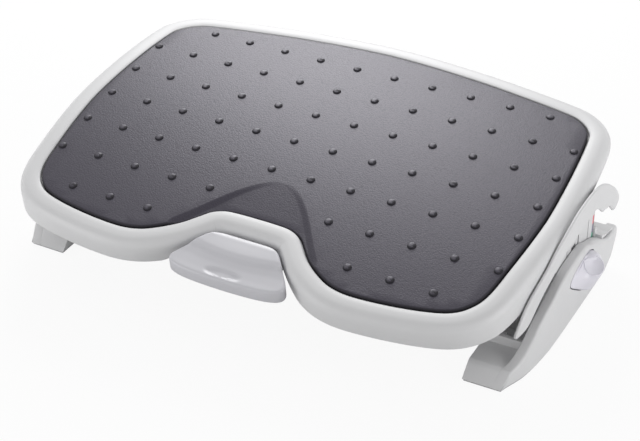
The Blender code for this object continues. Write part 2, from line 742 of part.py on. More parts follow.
def make_housing():
    room = half_cage()
    outside = room + HOUSING_WALL
    top = housing_top()
    bottom = -HOUSING_BOTTOM_DEPTH
    housing = block("brake_housing", (-outside, -HOUSING_FRONT, bottom), (outside, HOUSING_REAR, top))
    cut(housing, block("cavity", (-room, -HOUSING_FRONT + HOUSING_WALL, bottom - OVERRUN),
                       (room, HOUSING_REAR - HOUSING_WALL, top - HOUSING_WALL)))
    rod_way = ROD_WIDTH / 2 + ROD_FORK_GAP
    cut(housing, block("rod_way", (-rod_way, -HOUSING_FRONT - OVERRUN, bottom - OVERRUN),
                       (rod_way, -HOUSING_FRONT + HOUSING_WALL + OVERRUN,
                        -CHEEK_TOP_DEPTH + RUNNING_GAP)))
    for side in (-1, 1):
        for y in (-HOUSING_FRONT, HOUSING_REAR - COVER_FLANGE):
            near = side * (outside - DECK_BITE)
            far = side * (outside + COVER_FLANGE)
            join(housing, block("lug", (min(near, far), y, bottom),
                                (max(near, far), y + COVER_FLANGE, bottom + COVER_FLANGE)))
    reach = outside + OVERRUN
    cut(housing, rod("axle_hole", AXLE_RADIUS + AXLE_HOLE_GAP,
                     (-reach, PIVOT_BEHIND_CENTRE, -PIVOT_DEPTH),
                     (reach, PIVOT_BEHIND_CENTRE, -PIVOT_DEPTH), AXLE_SIDES))
    for x, y in cover_screw_places():
        cut(housing, rod("screw_hole", SCREW_RADIUS + FIT, (x, y, bottom - OVERRUN),
                         (x, y, bottom + COVER_FLANGE - SCREW_RADIUS), SCREW_SIDES))
    return grey(housing)


def cover_screw_places():
    x = half_cage() + HOUSING_WALL + COVER_FLANGE / 2
    front = -HOUSING_FRONT + COVER_FLANGE / 2
    rear = HOUSING_REAR - COVER_FLANGE / 2
    return [(side * x, y) for side in (-1, 1) for y in (front, rear)]


def make_brake_cover():
    outside = half_cage() + HOUSING_WALL + COVER_FLANGE
    top = -HOUSING_BOTTOM_DEPTH - FIT
    cover = block("brake_cover", (-outside, -HOUSING_FRONT, top - COVER_THICKNESS),
                  (outside, HOUSING_REAR, top))
    waist = half_cage() + HOUSING_WALL
    under = top - COVER_THICKNESS - OVERRUN
    for side in (-1, 1):
        near = side * waist
        far = side * (outside + OVERRUN)
        cut(cover, block("waist", (min(near, far), -HOUSING_FRONT + COVER_FLANGE, under),
                         (max(near, far), HOUSING_REAR - COVER_FLANGE, top + OVERRUN)))
    for x, y in cover_screw_places():
        cut(cover, rod("screw_hole", SCREW_RADIUS + FIT, (x, y, under), (x, y, top + OVERRUN),
                       SCREW_SIDES))
    return grey(cover)


def make_brake_cover_screws():
    face = -HOUSING_BOTTOM_DEPTH - FIT - COVER_THICKNESS
    short = SCREW_LENGTH - COVER_THICKNESS
    screws = []
    for x, y in cover_screw_places():
        seat = face - FIT
        piece = rod("screw", SCREW_HEAD_RADIUS - SCREW_SLOT, (x, y, seat - SCREW_HEAD_HEIGHT),
                    (x, y, seat), SCREW_SIDES, SCREW_HEAD_RADIUS)
        join(piece, rod("shank", SCREW_RADIUS, (x, y, seat - SCREW_SLOT),
                        (x, y, seat + short - SCREW_RADIUS), SCREW_SIDES))
        screws.append(steel(piece))
    return numbered("brake_cover_screw", screws)


def shoe_front():
    """Where the lining meets the drum, behind the axle."""
    return PIVOT_BEHIND_CENTRE + DRUM_RADIUS + FIT


def make_brake_slide():
    """The bar that the pedal pushes, forked round the drum, with the block of the shoe at its rear."""
    rear = shoe_front() + LINING_THICKNESS + FIT + SHOE_LENGTH
    inner = DRUM_WIDTH / 2 + CHEEK_GAP
    outer = inner + CHEEK_WIDTH
    low = -CHEEK_BOTTOM_DEPTH
    high = -CHEEK_TOP_DEPTH
    slide = block("brake_slide", (-outer, rear - SHOE_LENGTH, low), (outer, rear, -SHOE_TOP_DEPTH))
    for side in (-1, 1):
        near = side * inner
        far = side * outer
        join(slide, block("cheek", (min(near, far), -ROD_REAR - ROD_WIDTH, low),
                          (max(near, far), rear - SHOE_LENGTH / 2, high)))
    join(slide, block("yoke", (-outer, -ROD_REAR - ROD_WIDTH + FIT, low + FIT),
                      (outer, -ROD_REAR, high - FIT)))
    eye = eye_half_length() + ROD_EYE_WALL
    pin_y = pedal_pin_y()
    rod_low = (low + high - ROD_HEIGHT) / 2
    join(slide, block("bar", (-ROD_WIDTH / 2, pin_y + eye - ROD_EYE_WALL / 2, rod_low),
                      (ROD_WIDTH / 2, -ROD_REAR - ROD_WIDTH / 2, rod_low + ROD_HEIGHT)))
    eye_width = PEDAL_ARM_WIDTH / 2 + RUNNING_GAP + ROD_EYE_WALL
    join(slide, block("eye", (-eye_width, pin_y - eye, rod_low),
                      (eye_width, pin_y + eye, rod_low + ROD_HEIGHT)))
    window = eye_half_length()
    hole = PEDAL_ARM_WIDTH / 2 + RUNNING_GAP
    cut(slide, block("window", (-hole, pin_y - window, rod_low - OVERRUN),
                     (hole, pin_y + window, rod_low + ROD_HEIGHT + OVERRUN)))
    at_z = -PIVOT_DEPTH
    cut(slide, rod("socket", BRAKE_SPRING_RADIUS + SPRING_WIRE + SOCKET_GAP,
                   (0, rear - SOCKET_DEPTH, at_z), (0, rear + OVERRUN, at_z), AXLE_SIDES))
    return grey(slide)


def make_brake_lining():
    """The lining on the shoe, hollowed to the drum."""
    front = shoe_front()
    inner = DRUM_WIDTH / 2 + CHEEK_GAP - FIT
    lift = (CHEEK_TOP_DEPTH - SHOE_TOP_DEPTH) / 2
    rear = front + LINING_THICKNESS
    lining = block("brake_lining", (-inner, front - LINING_THICKNESS, -PIVOT_DEPTH - lift),
                   (inner, rear, -PIVOT_DEPTH + lift))
    cut(lining, rod("drum_way", DRUM_RADIUS + FIT,
                    (-inner - OVERRUN, PIVOT_BEHIND_CENTRE, -PIVOT_DEPTH),
                    (inner + OVERRUN, PIVOT_BEHIND_CENTRE, -PIVOT_DEPTH), DRUM_SIDES))
    return finish(lining, "black_rubber", (0.03, 0.03, 0.03), 0.8)


def make_brake_spring():
    """Presses the shoe on the drum. It stands in the housing's rear wall and the shoe's socket."""
    rear = HOUSING_REAR - HOUSING_WALL - FIT - SPRING_WIRE
    shoe_rear = shoe_front() + LINING_THICKNESS + FIT + SHOE_LENGTH
    travel = PEDAL_ARM_LENGTH * math.sin(PEDAL_PRESS)
    front = shoe_rear - SOCKET_DEPTH + travel + FIT + SPRING_WIRE
    return steel(coil("brake_spring", SPRING_WIRE, BRAKE_SPRING_RADIUS, (0, rear, -PIVOT_DEPTH),
                      (0, front, -PIVOT_DEPTH), BRAKE_SPRING_TURNS))


# Pedal

def pedal_pin_y():
    return -PEDAL_REAR + PEDAL_PIN_BEHIND


def eye_half_length():
    return PEDAL_PEG_RADIUS + RUNNING_GAP


def make_pedal():
    plan = mirrored_ring([(x * PEDAL_HALF_WIDTH, -PEDAL_REAR - y * PEDAL_LENGTH)
                          for x, y in PEDAL_PLAN_SHARES])
    side = [(-PEDAL_REAR - a * PEDAL_LENGTH, -PEDAL_TOP_DEPTH - b * PEDAL_HEIGHT)
            for a, b in PEDAL_SIDE_SHARES]
    pedal = slab("pedal", side, -PEDAL_HALF_WIDTH - OVERRUN, PEDAL_HALF_WIDTH + OVERRUN, "YZ")
    bottom = PEDAL_TOP_DEPTH + PEDAL_HEIGHT
    plan_solid = slab("plan", plan, -bottom - OVERRUN, OVERRUN)
    boolean(pedal, plan_solid, "INTERSECT")
    notch = grown(tray_ring, PEDAL_CLEARANCE)
    cut(pedal, slab("notch", notch, -bottom - OVERRUN, OVERRUN))
    pin_y = pedal_pin_y()
    low = -PEDAL_PIN_DEPTH - PEDAL_LUG_HALF_HEIGHT
    high = -PEDAL_PIN_DEPTH + PEDAL_LUG_HALF_HEIGHT
    for side_sign in (-1, 1):
        x = side_sign * PEDAL_LUG_PLACE
        join(pedal, block("lug", (x - PEDAL_LUG_WIDTH / 2, -PEDAL_REAR - PEDAL_LENGTH / 2, low),
                          (x + PEDAL_LUG_WIDTH / 2, pin_y + PEDAL_LUG_HALF_HEIGHT, high)))
    reach = PEDAL_LUG_PLACE + PEDAL_LUG_WIDTH / 2
    join(pedal, block("sill", (-reach + FIT, -PEDAL_REAR - PEDAL_LENGTH / 2, low + FIT),
                      (reach - FIT, -PEDAL_REAR - PEDAL_LUG_WIDTH, -bottom + FIT)))
    peg_z = -PEDAL_PIN_DEPTH - PEDAL_ARM_LENGTH
    arm = block("arm", (-PEDAL_ARM_WIDTH / 2, -PEDAL_REAR - PEDAL_LUG_WIDTH * 2, low),
                (PEDAL_ARM_WIDTH / 2, pin_y + PEDAL_LUG_HALF_HEIGHT, high - PEDAL_LUG_HALF_HEIGHT / 2))
    join(arm, block("drop", (-PEDAL_ARM_WIDTH / 2 + FIT, pin_y - PEDAL_ARM_HALF_SPAN, peg_z),
                    (PEDAL_ARM_WIDTH / 2 - FIT, pin_y + PEDAL_ARM_HALF_SPAN, -PEDAL_PIN_DEPTH)))
    join(arm, rod("peg", PEDAL_PEG_RADIUS, (-PEDAL_ARM_WIDTH / 2, pin_y, peg_z),
                  (PEDAL_ARM_WIDTH / 2, pin_y, peg_z), PEDAL_PIN_SIDES))
    join(pedal, arm)
    cut(pedal, rod("pin_hole", PEDAL_PIN_RADIUS + RUNNING_GAP / 2,
                   (-reach - OVERRUN, pin_y, -PEDAL_PIN_DEPTH),
                   (reach + OVERRUN, pin_y, -PEDAL_PIN_DEPTH), PEDAL_PIN_SIDES))
    return finish(pedal, "pedal_plastic", (0.60, 0.60, 0.64), 0.35)


def make_pedal_pin():
    reach = PEDAL_EAR_PLACE + PEDAL_EAR_WIDTH / 2 + FIT
    pin_y = pedal_pin_y()
    return steel(rod("pedal_pin", PEDAL_PIN_RADIUS, (-reach, pin_y, -PEDAL_PIN_DEPTH),
                     (reach, pin_y, -PEDAL_PIN_DEPTH), PEDAL_PIN_SIDES))


def make_pedal_spring():
    """Turns round the pedal's pin, between the arm and a lug."""
    half = SPRING_WIRE * PEDAL_SPRING_TURNS * 1.5
    at = (pedal_pin_y(), -PEDAL_PIN_DEPTH)
    radius = PEDAL_PIN_RADIUS + FIT + SPRING_WIRE
    return steel(coil("pedal_spring", SPRING_WIRE, radius, (PEDAL_SPRING_PLACE - half, *at),
                      (PEDAL_SPRING_PLACE + half, *at), PEDAL_SPRING_TURNS))


# Cradle: the axle and what is fixed on it. Its level frame has the axle at these two places

def axle_y():
    return PIVOT_BEHIND_CENTRE * math.cos(TILT) + PIVOT_DEPTH * math.sin(TILT)


def axle_z():
    return CENTRE_HEIGHT + PIVOT_BEHIND_CENTRE * math.sin(TILT) - PIVOT_DEPTH * math.cos(TILT)


def drum_pin_rod(name, spread=0.0, overrun=0.0):
    reach = DRUM_RADIUS - DRUM_PIN_RADIUS / 2 + overrun
    return rod(name, DRUM_PIN_RADIUS + spread, (0, axle_y(), axle_z() - reach),
               (0, axle_y(), axle_z() + reach), SCREW_SIDES)


def make_axle():
    at = (axle_y(), axle_z())
    axle = rod("tilt_axle", AXLE_RADIUS, (-AXLE_HALF_LENGTH, *at), (AXLE_HALF_LENGTH, *at), AXLE_SIDES)
    cut(axle, drum_pin_rod("pin_hole", FIT, OVERRUN))
    return steel(axle)


def make_drum():
    at = (axle_y(), axle_z())
    half = DRUM_WIDTH / 2
    drum = rod("brake_drum", DRUM_RADIUS, (-half, *at), (half, *at), DRUM_SIDES)
    cut(drum, rod("axle_hole", AXLE_RADIUS + FIT, (-half - OVERRUN, *at), (half + OVERRUN, *at),
                  AXLE_SIDES))
    cut(drum, drum_pin_rod("pin_hole", FIT, OVERRUN))
    return finish(drum, "drum_metal", (0.42, 0.42, 0.43), 0.5, 1.0)


def make_drum_pin():
    return steel(drum_pin_rod("drum_pin"))


def stand_side(shares):
    """A side view in the stand's shares, as places along the stand and heights."""
    return [(-STAND_FRONT + a * STAND_LENGTH, SOLE_THICKNESS + b * PANEL_HEIGHT) for a, b in shares]


def boss_places():
    return [(-STAND_FRONT + share * STAND_LENGTH, BOSS_HEIGHT) for share in BOSS_SHARES]


# Outlines of the right stand and of the cheek of its bracket

panel_plan = [(STAND_INNER + a * STAND_WIDTH, -STAND_FRONT + b * STAND_LENGTH)
              for a, b in STAND_PLAN_SHARES]
panel_side = stand_side(STAND_PROFILE_SHARES)
cheek_side = [(a * CHEEK_REACH, CHEEK_BOTTOM + b * CHEEK_HEIGHT) for a, b in CHEEK_SHARES]


def panel_face(y):
    """Distance of the stand's outer face from the centre line at y."""
    for (xa, ya), (xb, yb) in zip(panel_plan, panel_plan[1:]):
        if ya <= y <= yb:
            return xa + (xb - xa) * (y - ya) / (yb - ya)
    return panel_plan[0][0] if y < 0 else panel_plan[-1][0]


def cheek_inner_face(y):
    """The cheek stands clear of the rim in front, and runs straight behind its widest place."""
    if y > PIVOT_BEHIND_CENTRE:
        return PLATFORM_HALF_WIDTH + CHEEK_SKIRT_GAP
    return half_width_at(y) + CHEEK_SKIRT_GAP


def cheek_band(name, low, high):
    """The cheek's plan: a band of the plate's thickness that follows the rim."""
    places = [y for y, z in cheek_side]
    front = min(places) - OVERRUN
    rear = max(places) + OVERRUN
    ys = [front + (rear - front) * i / CHEEK_STEPS for i in range(CHEEK_STEPS + 1)]
    inner = [(cheek_inner_face(y), y) for y in ys]
    outer = [(cheek_inner_face(y) + CHEEK_PLATE, y) for y in reversed(ys)]
    return slab(name, inner + outer, low, high)


def column_outer():
    return STAND_OUTER - PANEL_THICKNESS - COLUMN_GAP


def stem_slot_top():
    return STEM_Z + HEIGHT_TRAVEL + STEM_RADIUS + STEM_SLOT_GAP


def left_cheek_side():
    """The left cheek's side view, which stays below the rim all along."""
    slope = math.tan(TILT)
    return [(y, min(z, CENTRE_HEIGHT + y * slope - LEFT_CHEEK_DROP)) for y, z in cheek_side]


def rack_teeth(face, way, z):
    """A tooth on each side of the button's stem, which stands out of a face at x the given way."""
    half = RACK_TOOTH_HEIGHT / 2
    tip = half * RACK_TOOTH_SHARE
    root = face - way * DECK_BITE
    end = face + way * RACK_TOOTH_DEPTH
    outline = [(root, z - half), (face, z - half), (end, z - tip), (end, z + tip), (face, z + half),
               (root, z + half)]
    teeth = []
    for side in (-1, 1):
        near = STEM_Y + side * (STEM_RADIUS + STEM_SLOT_GAP + DECK_BITE)
        far = near + side * RACK_WIDTH
        tooth = slab("tooth", outline, min(near, far), max(near, far))
        turned(tooth, Matrix(((1, 0, 0, 0), (0, 0, 1, 0), (0, 1, 0, 0), (0, 0, 0, 1))))
        tooth.data.flip_normals()
        teeth.append(tooth)
    return teeth


def make_lift_bracket(name, side_view=None):
    outer = column_outer()
    inner = outer - COLUMN_THICKNESS
    profile = (
        (-COLUMN_FRONT, COLUMN_BOTTOM + COLUMN_CHAMFER), (-COLUMN_FRONT + COLUMN_CHAMFER, COLUMN_BOTTOM),
        (COLUMN_REAR - COLUMN_CHAMFER, COLUMN_BOTTOM), (COLUMN_REAR, COLUMN_BOTTOM + COLUMN_CHAMFER),
        (COLUMN_REAR, COLUMN_TOP - SHOULDER_DROP), (BRIDGE_REAR, COLUMN_TOP),
        (BRIDGE_FRONT, COLUMN_TOP), (-COLUMN_FRONT, COLUMN_TOP - SHOULDER_DROP),
    )
    bracket = slab(name, profile, inner, outer, "YZ")
    cheek = cheek_band("cheek", COLUMN_BOTTOM, CENTRE_HEIGHT * 2)
    boolean(cheek, slab("side", side_view or cheek_side, inner - OVERRUN, STAND_OUTER + OVERRUN, "YZ"),
            "INTERSECT")
    join(bracket, cheek)
    cheek_face = cheek_inner_face(BRIDGE_REAR) + CHEEK_PLATE / 2
    join(bracket, block("bridge", (inner + FIT, BRIDGE_FRONT + OVERRUN, COLUMN_TOP - BRIDGE_THICKNESS),
                        (cheek_face, BRIDGE_REAR - OVERRUN, COLUMN_TOP - FIT)))
    at = (axle_y(), axle_z())
    join(bracket, rod("boss", AXLE_BOSS_RADIUS, (inner - AXLE_BOSS_LENGTH, *at),
                      (inner + DECK_BITE, *at), AXLE_BOSS_SIDES))
    bore_end = AXLE_HALF_LENGTH + FIT
    cut(bracket, rod("axle_bore", AXLE_RADIUS + FIT, (inner - AXLE_BOSS_LENGTH - OVERRUN, *at),
                     (bore_end, *at), AXLE_SIDES))
    x = inner - AXLE_BOSS_LENGTH / 2
    cut(bracket, rod("set_screw_hole", SET_SCREW_RADIUS + FIT, (x, axle_y(), axle_z()),
                     (x, axle_y(), axle_z() - AXLE_BOSS_RADIUS - OVERRUN), SCREW_SIDES))
    slot = STEM_RADIUS + STEM_SLOT_GAP
    cut(bracket, block("stem_slot", (inner - OVERRUN, STEM_Y - slot, COLUMN_BOTTOM - OVERRUN),
                       (outer + OVERRUN, STEM_Y + slot, stem_slot_top())))
    grooves = [(GROOVE_SHARE, GROOVE_WIDTH, GROOVE_DEPTH)]
    grooves += [(share, FINE_GROOVE_WIDTH, FINE_GROOVE_DEPTH) for share in FINE_GROOVE_SHARES]
    for share, width, depth in grooves:
        y = -COLUMN_FRONT + share * COLUMN_WIDTH
        cut(bracket, block("groove", (outer - depth, y - width / 2, COLUMN_BOTTOM - OVERRUN),
                           (outer + OVERRUN, y + width / 2, COLUMN_TOP - GROOVE_TOP_MARGIN)))
    scale_low = SCALE_TOP - SCALE_BANDS * HEIGHT_STEP
    rear = COLUMN_REAR - SCALE_EDGE
    cut(bracket, block("scale_pocket", (outer - SCALE_POCKET, rear - SCALE_WIDTH - FIT, scale_low - FIT),
                       (outer + OVERRUN, rear + FIT, SCALE_TOP + FIT)))
    for index in range(RACK_TEETH):
        z = STEM_Z + (index - RACK_TEETH / 2 + 1) * HEIGHT_STEP
        join(bracket, *rack_teeth(inner, -1, z))
    return grey(bracket)


def make_height_scale(name):
    outer = column_outer()
    bottom = outer - SCALE_POCKET + FIT
    rear = COLUMN_REAR - SCALE_EDGE
    low = SCALE_TOP - SCALE_BANDS * HEIGHT_STEP
    strip = block(name, (bottom, rear - SCALE_WIDTH, low),
                  (bottom + SCALE_THICKNESS - FIT, rear, SCALE_TOP))
    return finish(strip, "scale_print", (0.75, 0.2, 0.25), 0.5)


def make_set_screw(name):
    """Fixes the axle in the bracket's boss, from below."""
    inner = column_outer() - COLUMN_THICKNESS
    x = inner - AXLE_BOSS_LENGTH / 2
    top = axle_z() - AXLE_RADIUS - FIT
    return steel(rod(name, SET_SCREW_RADIUS, (x, axle_y(), axle_z() - AXLE_BOSS_RADIUS - FIT),
                     (x, axle_y(), top), SCREW_SIDES))


# Stand

def stand_plan(spread=0.0):
    inner = STAND_INNER - spread
    right = [(x + spread, y) for x, y in panel_plan]
    front = (right[0][0], right[0][1] - spread)
    rear = (right[-1][0], right[-1][1] + spread)
    return [(inner, front[1]), front] + right[1:-1] + [rear, (inner, rear[1])]


def panel_cutter(name, front, rear, low, high):
    """Everything inside the outer panel, between two places along the stand and two heights."""
    ys = [front] + [y for x, y in panel_plan if front < y < rear] + [rear]
    edge = [(panel_face(y) - PANEL_THICKNESS, y) for y in ys]
    outline = [(STAND_INNER - OVERRUN, front)] + edge + [(STAND_INNER - OVERRUN, rear)]
    return slab(name, outline, low, high)


def stand_room():
    """What is cut out inside the outer panel: above the foot, behind its wall and over the heel."""
    floor = SOLE_THICKNESS + STAND_FLOOR
    wall = FOOT_REAR - WELL_WALL
    front = -STAND_FRONT - OVERRUN
    rear = WELL_REAR + OVERRUN
    top = CENTRE_HEIGHT + OVERRUN
    steps = [(front - OVERRUN, FOOT_TOP), (-FOOT_REAR, FOOT_TOP), (-FOOT_REAR, WELL_FRONT_HEIGHT),
             (-wall, WELL_FRONT_HEIGHT), (-wall, floor), (HEEL_FROM, floor), (HEEL_FROM, HEEL_FLOOR),
             (rear, HEEL_FLOOR), (rear, top), (front - OVERRUN, top)]
    room = panel_cutter("room", front, WELL_REAR, floor - OVERRUN, CENTRE_HEIGHT)
    return boolean(room, slab("steps", steps, STAND_INNER - 2 * OVERRUN, STAND_OUTER, "YZ"),
                   "INTERSECT")


def button_ring(spread):
    y = STEM_Y + BUTTON_BEHIND_STEM
    z = STEM_Z - BUTTON_BELOW_STEM
    points = [(y + a * BUTTON_HALF_LENGTH, z + b * BUTTON_HALF_HEIGHT) for a, b in BUTTON_SHARES]
    return grown(smooth_ring(points, OUTLINE_STEPS), spread)


def make_stand(name):
    top = CENTRE_HEIGHT
    floor = SOLE_THICKNESS + STAND_FLOOR
    stand = slab(name, panel_side, STAND_INNER, STAND_OUTER + OVERRUN, "YZ")
    boolean(stand, slab("plan", stand_plan(), SOLE_THICKNESS - OVERRUN, top), "INTERSECT")
    cut(stand, stand_room())
    cover_seat = STAND_INNER + COVER_WALL + FIT
    cut(stand, block("cover_seat", (STAND_INNER - OVERRUN, -FOOT_REAR, SOLE_THICKNESS - OVERRUN),
                     (cover_seat, STAND_REAR + OVERRUN, top)))
    panel_inside = STAND_OUTER - PANEL_THICKNESS
    front_face = -COLUMN_FRONT - RUNNING_GAP
    rear_face = COLUMN_REAR + RUNNING_GAP
    post = panel_inside - GUIDE_DEPTH
    lip = column_outer() - COLUMN_THICKNESS - RUNNING_GAP
    for face, way in ((front_face, -1), (rear_face, 1)):
        back = face + way * GUIDE_WIDTH
        hook = face - way * GUIDE_LIP
        root = face + way * FIT
        join(stand, block("guide", (post, min(face, back), floor - DECK_BITE),
                          (panel_inside + DECK_BITE, max(face, back), GUIDE_TOP)))
        join(stand, block("guide_lip", (post + FIT, min(root, hook), floor - DECK_BITE + FIT),
                          (lip, max(root, hook), GUIDE_TOP - FIT)))
    for y, z in boss_places():
        join(stand, block("boss", (cover_seat + FIT, y - BOSS_HALF_WIDTH, floor - DECK_BITE),
                          (cover_seat + BOSS_LENGTH, y + BOSS_HALF_WIDTH, z + BOSS_HALF_WIDTH)))
        cut(stand, rod("screw_hole", SCREW_RADIUS + FIT, (cover_seat - OVERRUN, y, z),
                       (cover_seat + SCREW_LENGTH, y, z), SCREW_SIDES))
    cut(stand, slab("button_hole", button_ring(BUTTON_GAP), panel_inside - OVERRUN,
                    STAND_OUTER + OVERRUN, "YZ"))
    return grey(stand)


def make_stand_cover(name):
    cover = slab(name, stand_side(STAND_COVER_SHARES), STAND_INNER, STAND_INNER + COVER_WALL, "YZ")
    for y, z in boss_places():
        cut(cover, rod("screw_hole", SCREW_RADIUS + FIT, (STAND_INNER - OVERRUN, y, z),
                       (STAND_INNER + COVER_WALL + OVERRUN, y, z), SCREW_SIDES))
    return grey(cover)


def make_cover_screws(name):
    screws = []
    for y, z in boss_places():
        face = STAND_INNER - FIT
        piece = rod("screw", SCREW_HEAD_RADIUS - SCREW_SLOT, (face - SCREW_HEAD_HEIGHT, y, z),
                    (face, y, z), SCREW_SIDES, SCREW_HEAD_RADIUS)
        join(piece, rod("shank", SCREW_RADIUS, (face - SCREW_SLOT, y, z), (face + SCREW_LENGTH, y, z),
                        SCREW_SIDES))
        screws.append(steel(piece))
    return numbered(name, screws)


def make_sole(name):
    sole = slab(name, stand_plan(-SOLE_INSET), 0, SOLE_THICKNESS - FIT)
    cut(sole, block("heel", (STAND_INNER - OVERRUN, panel_side[-1][0], -OVERRUN),
                    (STAND_OUTER + OVERRUN, STAND_REAR + OVERRUN, SOLE_THICKNESS)))
    return finish(sole, "sole_rubber", (0.35, 0.35, 0.36), 0.8)


# Side button and its latch

def disc_points(centre, normal, radius, sides):
    aim = normal.to_track_quat("Z", "Y").to_matrix()
    points = []
    for index in range(sides):
        angle = math.tau * index / sides
        points.append(centre + aim @ Vector((radius * math.cos(angle), radius * math.sin(angle), 0)))
    return points


def make_button(name):
    base = STAND_OUTER - BUTTON_BASE_DEPTH
    shape = bmesh.new()
    for x in (base, STAND_OUTER + BUTTON_REST_LIP):
        for y, z in button_ring(0):
            shape.verts.new((x, y, z))
    normal = Vector(BUTTON_FACE_NORMAL_SHARES).normalized()
    face = Vector((STAND_OUTER + BUTTON_FACE_OUT, STEM_Y + BUTTON_FACE_BEHIND,
                   STEM_Z + BUTTON_FACE_ABOVE))
    for depth, radius in ((0, BUTTON_FACE_RADIUS), (BUTTON_WAIST_DEPTH, BUTTON_WAIST_RADIUS)):
        for point in disc_points(face - normal * depth, normal, radius, BUTTON_SIDES):
            shape.verts.new(point)
    hull = bmesh.ops.convex_hull(shape, input=shape.verts)
    inner = [v for v in hull["geom_interior"] if isinstance(v, bmesh.types.BMVert)]
    bmesh.ops.delete(shape, geom=inner, context="VERTS")
    button = from_bmesh(name, shape)
    dish_radius = BUTTON_FACE_RADIUS * BUTTON_DISH_SHARE
    ball = (dish_radius ** 2 + BUTTON_DISH_DEPTH ** 2) / (2 * BUTTON_DISH_DEPTH)
    shape = bmesh.new()
    bmesh.ops.create_uvsphere(shape, u_segments=BUTTON_SIDES, v_segments=BUTTON_SIDES, radius=ball)
    dish = from_bmesh("dish", shape)
    turned(dish, normal.to_track_quat("Z", "Y").to_matrix().to_4x4())
    turned(dish, Matrix.Translation(face + normal * (ball - BUTTON_DISH_DEPTH)))
    cut(button, dish)
    stem_end = latch_face() - LATCH_BODY / 2
    join(button, rod("stem", STEM_RADIUS, (stem_end, STEM_Y, STEM_Z),
                     (base + DECK_BITE, STEM_Y, STEM_Z), STEM_SIDES))
    return finish(button, "button_plastic", (0.55, 0.55, 0.62), 0.35)


def rack_tip():
    return column_outer() - COLUMN_THICKNESS - RACK_TOOTH_DEPTH


def latch_face():
    """The block's body ends a tooth's depth short of the tips, which just clear the rack."""
    return rack_tip() - FIT - RACK_TOOTH_DEPTH


def make_latch(name):
    face = latch_face()
    back = face - LATCH_BODY
    latch = block(name, (back, STEM_Y - LATCH_WIDTH / 2, STEM_Z - LATCH_HALF_HEIGHT),
                  (face, STEM_Y + LATCH_WIDTH / 2, STEM_Z + LATCH_HALF_HEIGHT))
    join(latch, *rack_teeth(face, 1, STEM_Z))
    at = (STEM_Y, STEM_Z)
    cut(latch, rod("stem_hole", STEM_RADIUS + FIT, (face - LATCH_BODY / 2 - FIT, *at),
                   (face + OVERRUN, *at), STEM_SIDES))
    cut(latch, rod("socket", BUTTON_SPRING_RADIUS + SPRING_WIRE + SOCKET_GAP / 2, (back - OVERRUN, *at),
                   (back + LATCH_BODY / 2 - DECK_BITE, *at), STEM_SIDES))
    return finish(latch, "latch_plastic", (0.12, 0.12, 0.13), 0.5)


def make_button_spring(name):
    """Stands on the cover and pushes the latch, and so the button, outwards."""
    start = STAND_INNER + COVER_WALL + FIT + SPRING_WIRE
    end = latch_face() - LATCH_BODY / 2 - DECK_BITE - BUTTON_PRESS - FIT - SPRING_WIRE
    return steel(coil(name, SPRING_WIRE, BUTTON_SPRING_RADIUS, (start, STEM_Y, STEM_Z),
                      (end, STEM_Y, STEM_Z), BUTTON_SPRING_TURNS))


# Placing

def empty(name, location, parent=None, turn=0.0):
    marker = bpy.data.objects.new(name, None)
    parts.objects.link(marker)
    marker.location = location
    marker.rotation_euler = (turn, 0, 0)
    marker.parent = parent
    return marker


def place(piece, parent, offset=(0, 0, 0)):
    piece.parent = parent
    piece.location = offset
    mesh = piece.data
    mesh.shade_smooth()
    mesh.set_sharp_from_angle(angle=math.radians(35))
    return piece


def mirrored_copy(piece, name, parent, offset):
    """The left stand's copy of a right piece."""
    mesh = piece.data.copy()
    mesh.transform(Matrix.Scale(-1, 4, (1, 0, 0)))
    mesh.flip_normals()
    return place(drawn(name, mesh), parent, offset)


def main():
    cradle = empty("cradle", (0, CENTRE_Y + axle_y(), axle_z()))
    cradle_offset = (0, -axle_y(), -axle_z())
    tilt_axis = empty("tilt_axis", (0, 0, 0), cradle, TILT)
    tilt_offset = (0, -PIVOT_BEHIND_CENTRE, PIVOT_DEPTH)
    carried = [make_tray(), make_mat(), make_housing(), make_brake_cover(), make_brake_spring(),
               make_pedal_pin(), make_pedal_spring()]
    for piece in carried + make_bushes() + make_brake_cover_screws():
        place(piece, tilt_axis, tilt_offset)
    brake_way = empty("brake_way", (0, 0, 0), tilt_axis)
    for piece in (make_brake_slide(), make_brake_lining()):
        place(piece, brake_way, tilt_offset)
    pin = (0, pedal_pin_y() - PIVOT_BEHIND_CENTRE, PIVOT_DEPTH - PEDAL_PIN_DEPTH)
    pedal_axis = empty("pedal_axis", pin, tilt_axis)
    place(make_pedal(), pedal_axis, (0, -pedal_pin_y(), PEDAL_PIN_DEPTH))
    for piece in (make_axle(), make_drum(), make_drum_pin()):
        place(piece, cradle, cradle_offset)
    stands = {side: empty(side + "_stand_place", (0, CENTRE_Y, 0)) for side in ("right", "left")}
    ways = {side: empty(side + "_button_way", (0, 0, 0), stands[side]) for side in stands}
    cradles = {side: cradle for side in stands}
    level = (0, 0, 0)
    makers = (
        ("stand", make_stand, stands, level), ("stand_cover", make_stand_cover, stands, level),
        ("cover_screw", make_cover_screws, stands, level), ("sole", make_sole, stands, level),
        ("button_spring", make_button_spring, stands, level),
        ("button", make_button, ways, level), ("latch", make_latch, ways, level),
        ("lift_bracket", make_lift_bracket, cradles, cradle_offset),
        ("height_scale", make_height_scale, cradles, cradle_offset),
        ("set_screw", make_set_screw, cradles, cradle_offset),
    )
    for name, make, holders, offset in makers:
        made = make("right_" + name)
        for piece in made if isinstance(made, list) else [made]:
            place(piece, holders["right"], offset)
            if name == "lift_bracket":
                model = make_lift_bracket("left_model", left_cheek_side())
                mirrored_copy(model, "left_" + name, cradle, offset)
                bpy.data.objects.remove(model)
            else:
                mirrored_copy(piece, piece.name.replace("right", "left"), holders["left"], offset)


main()
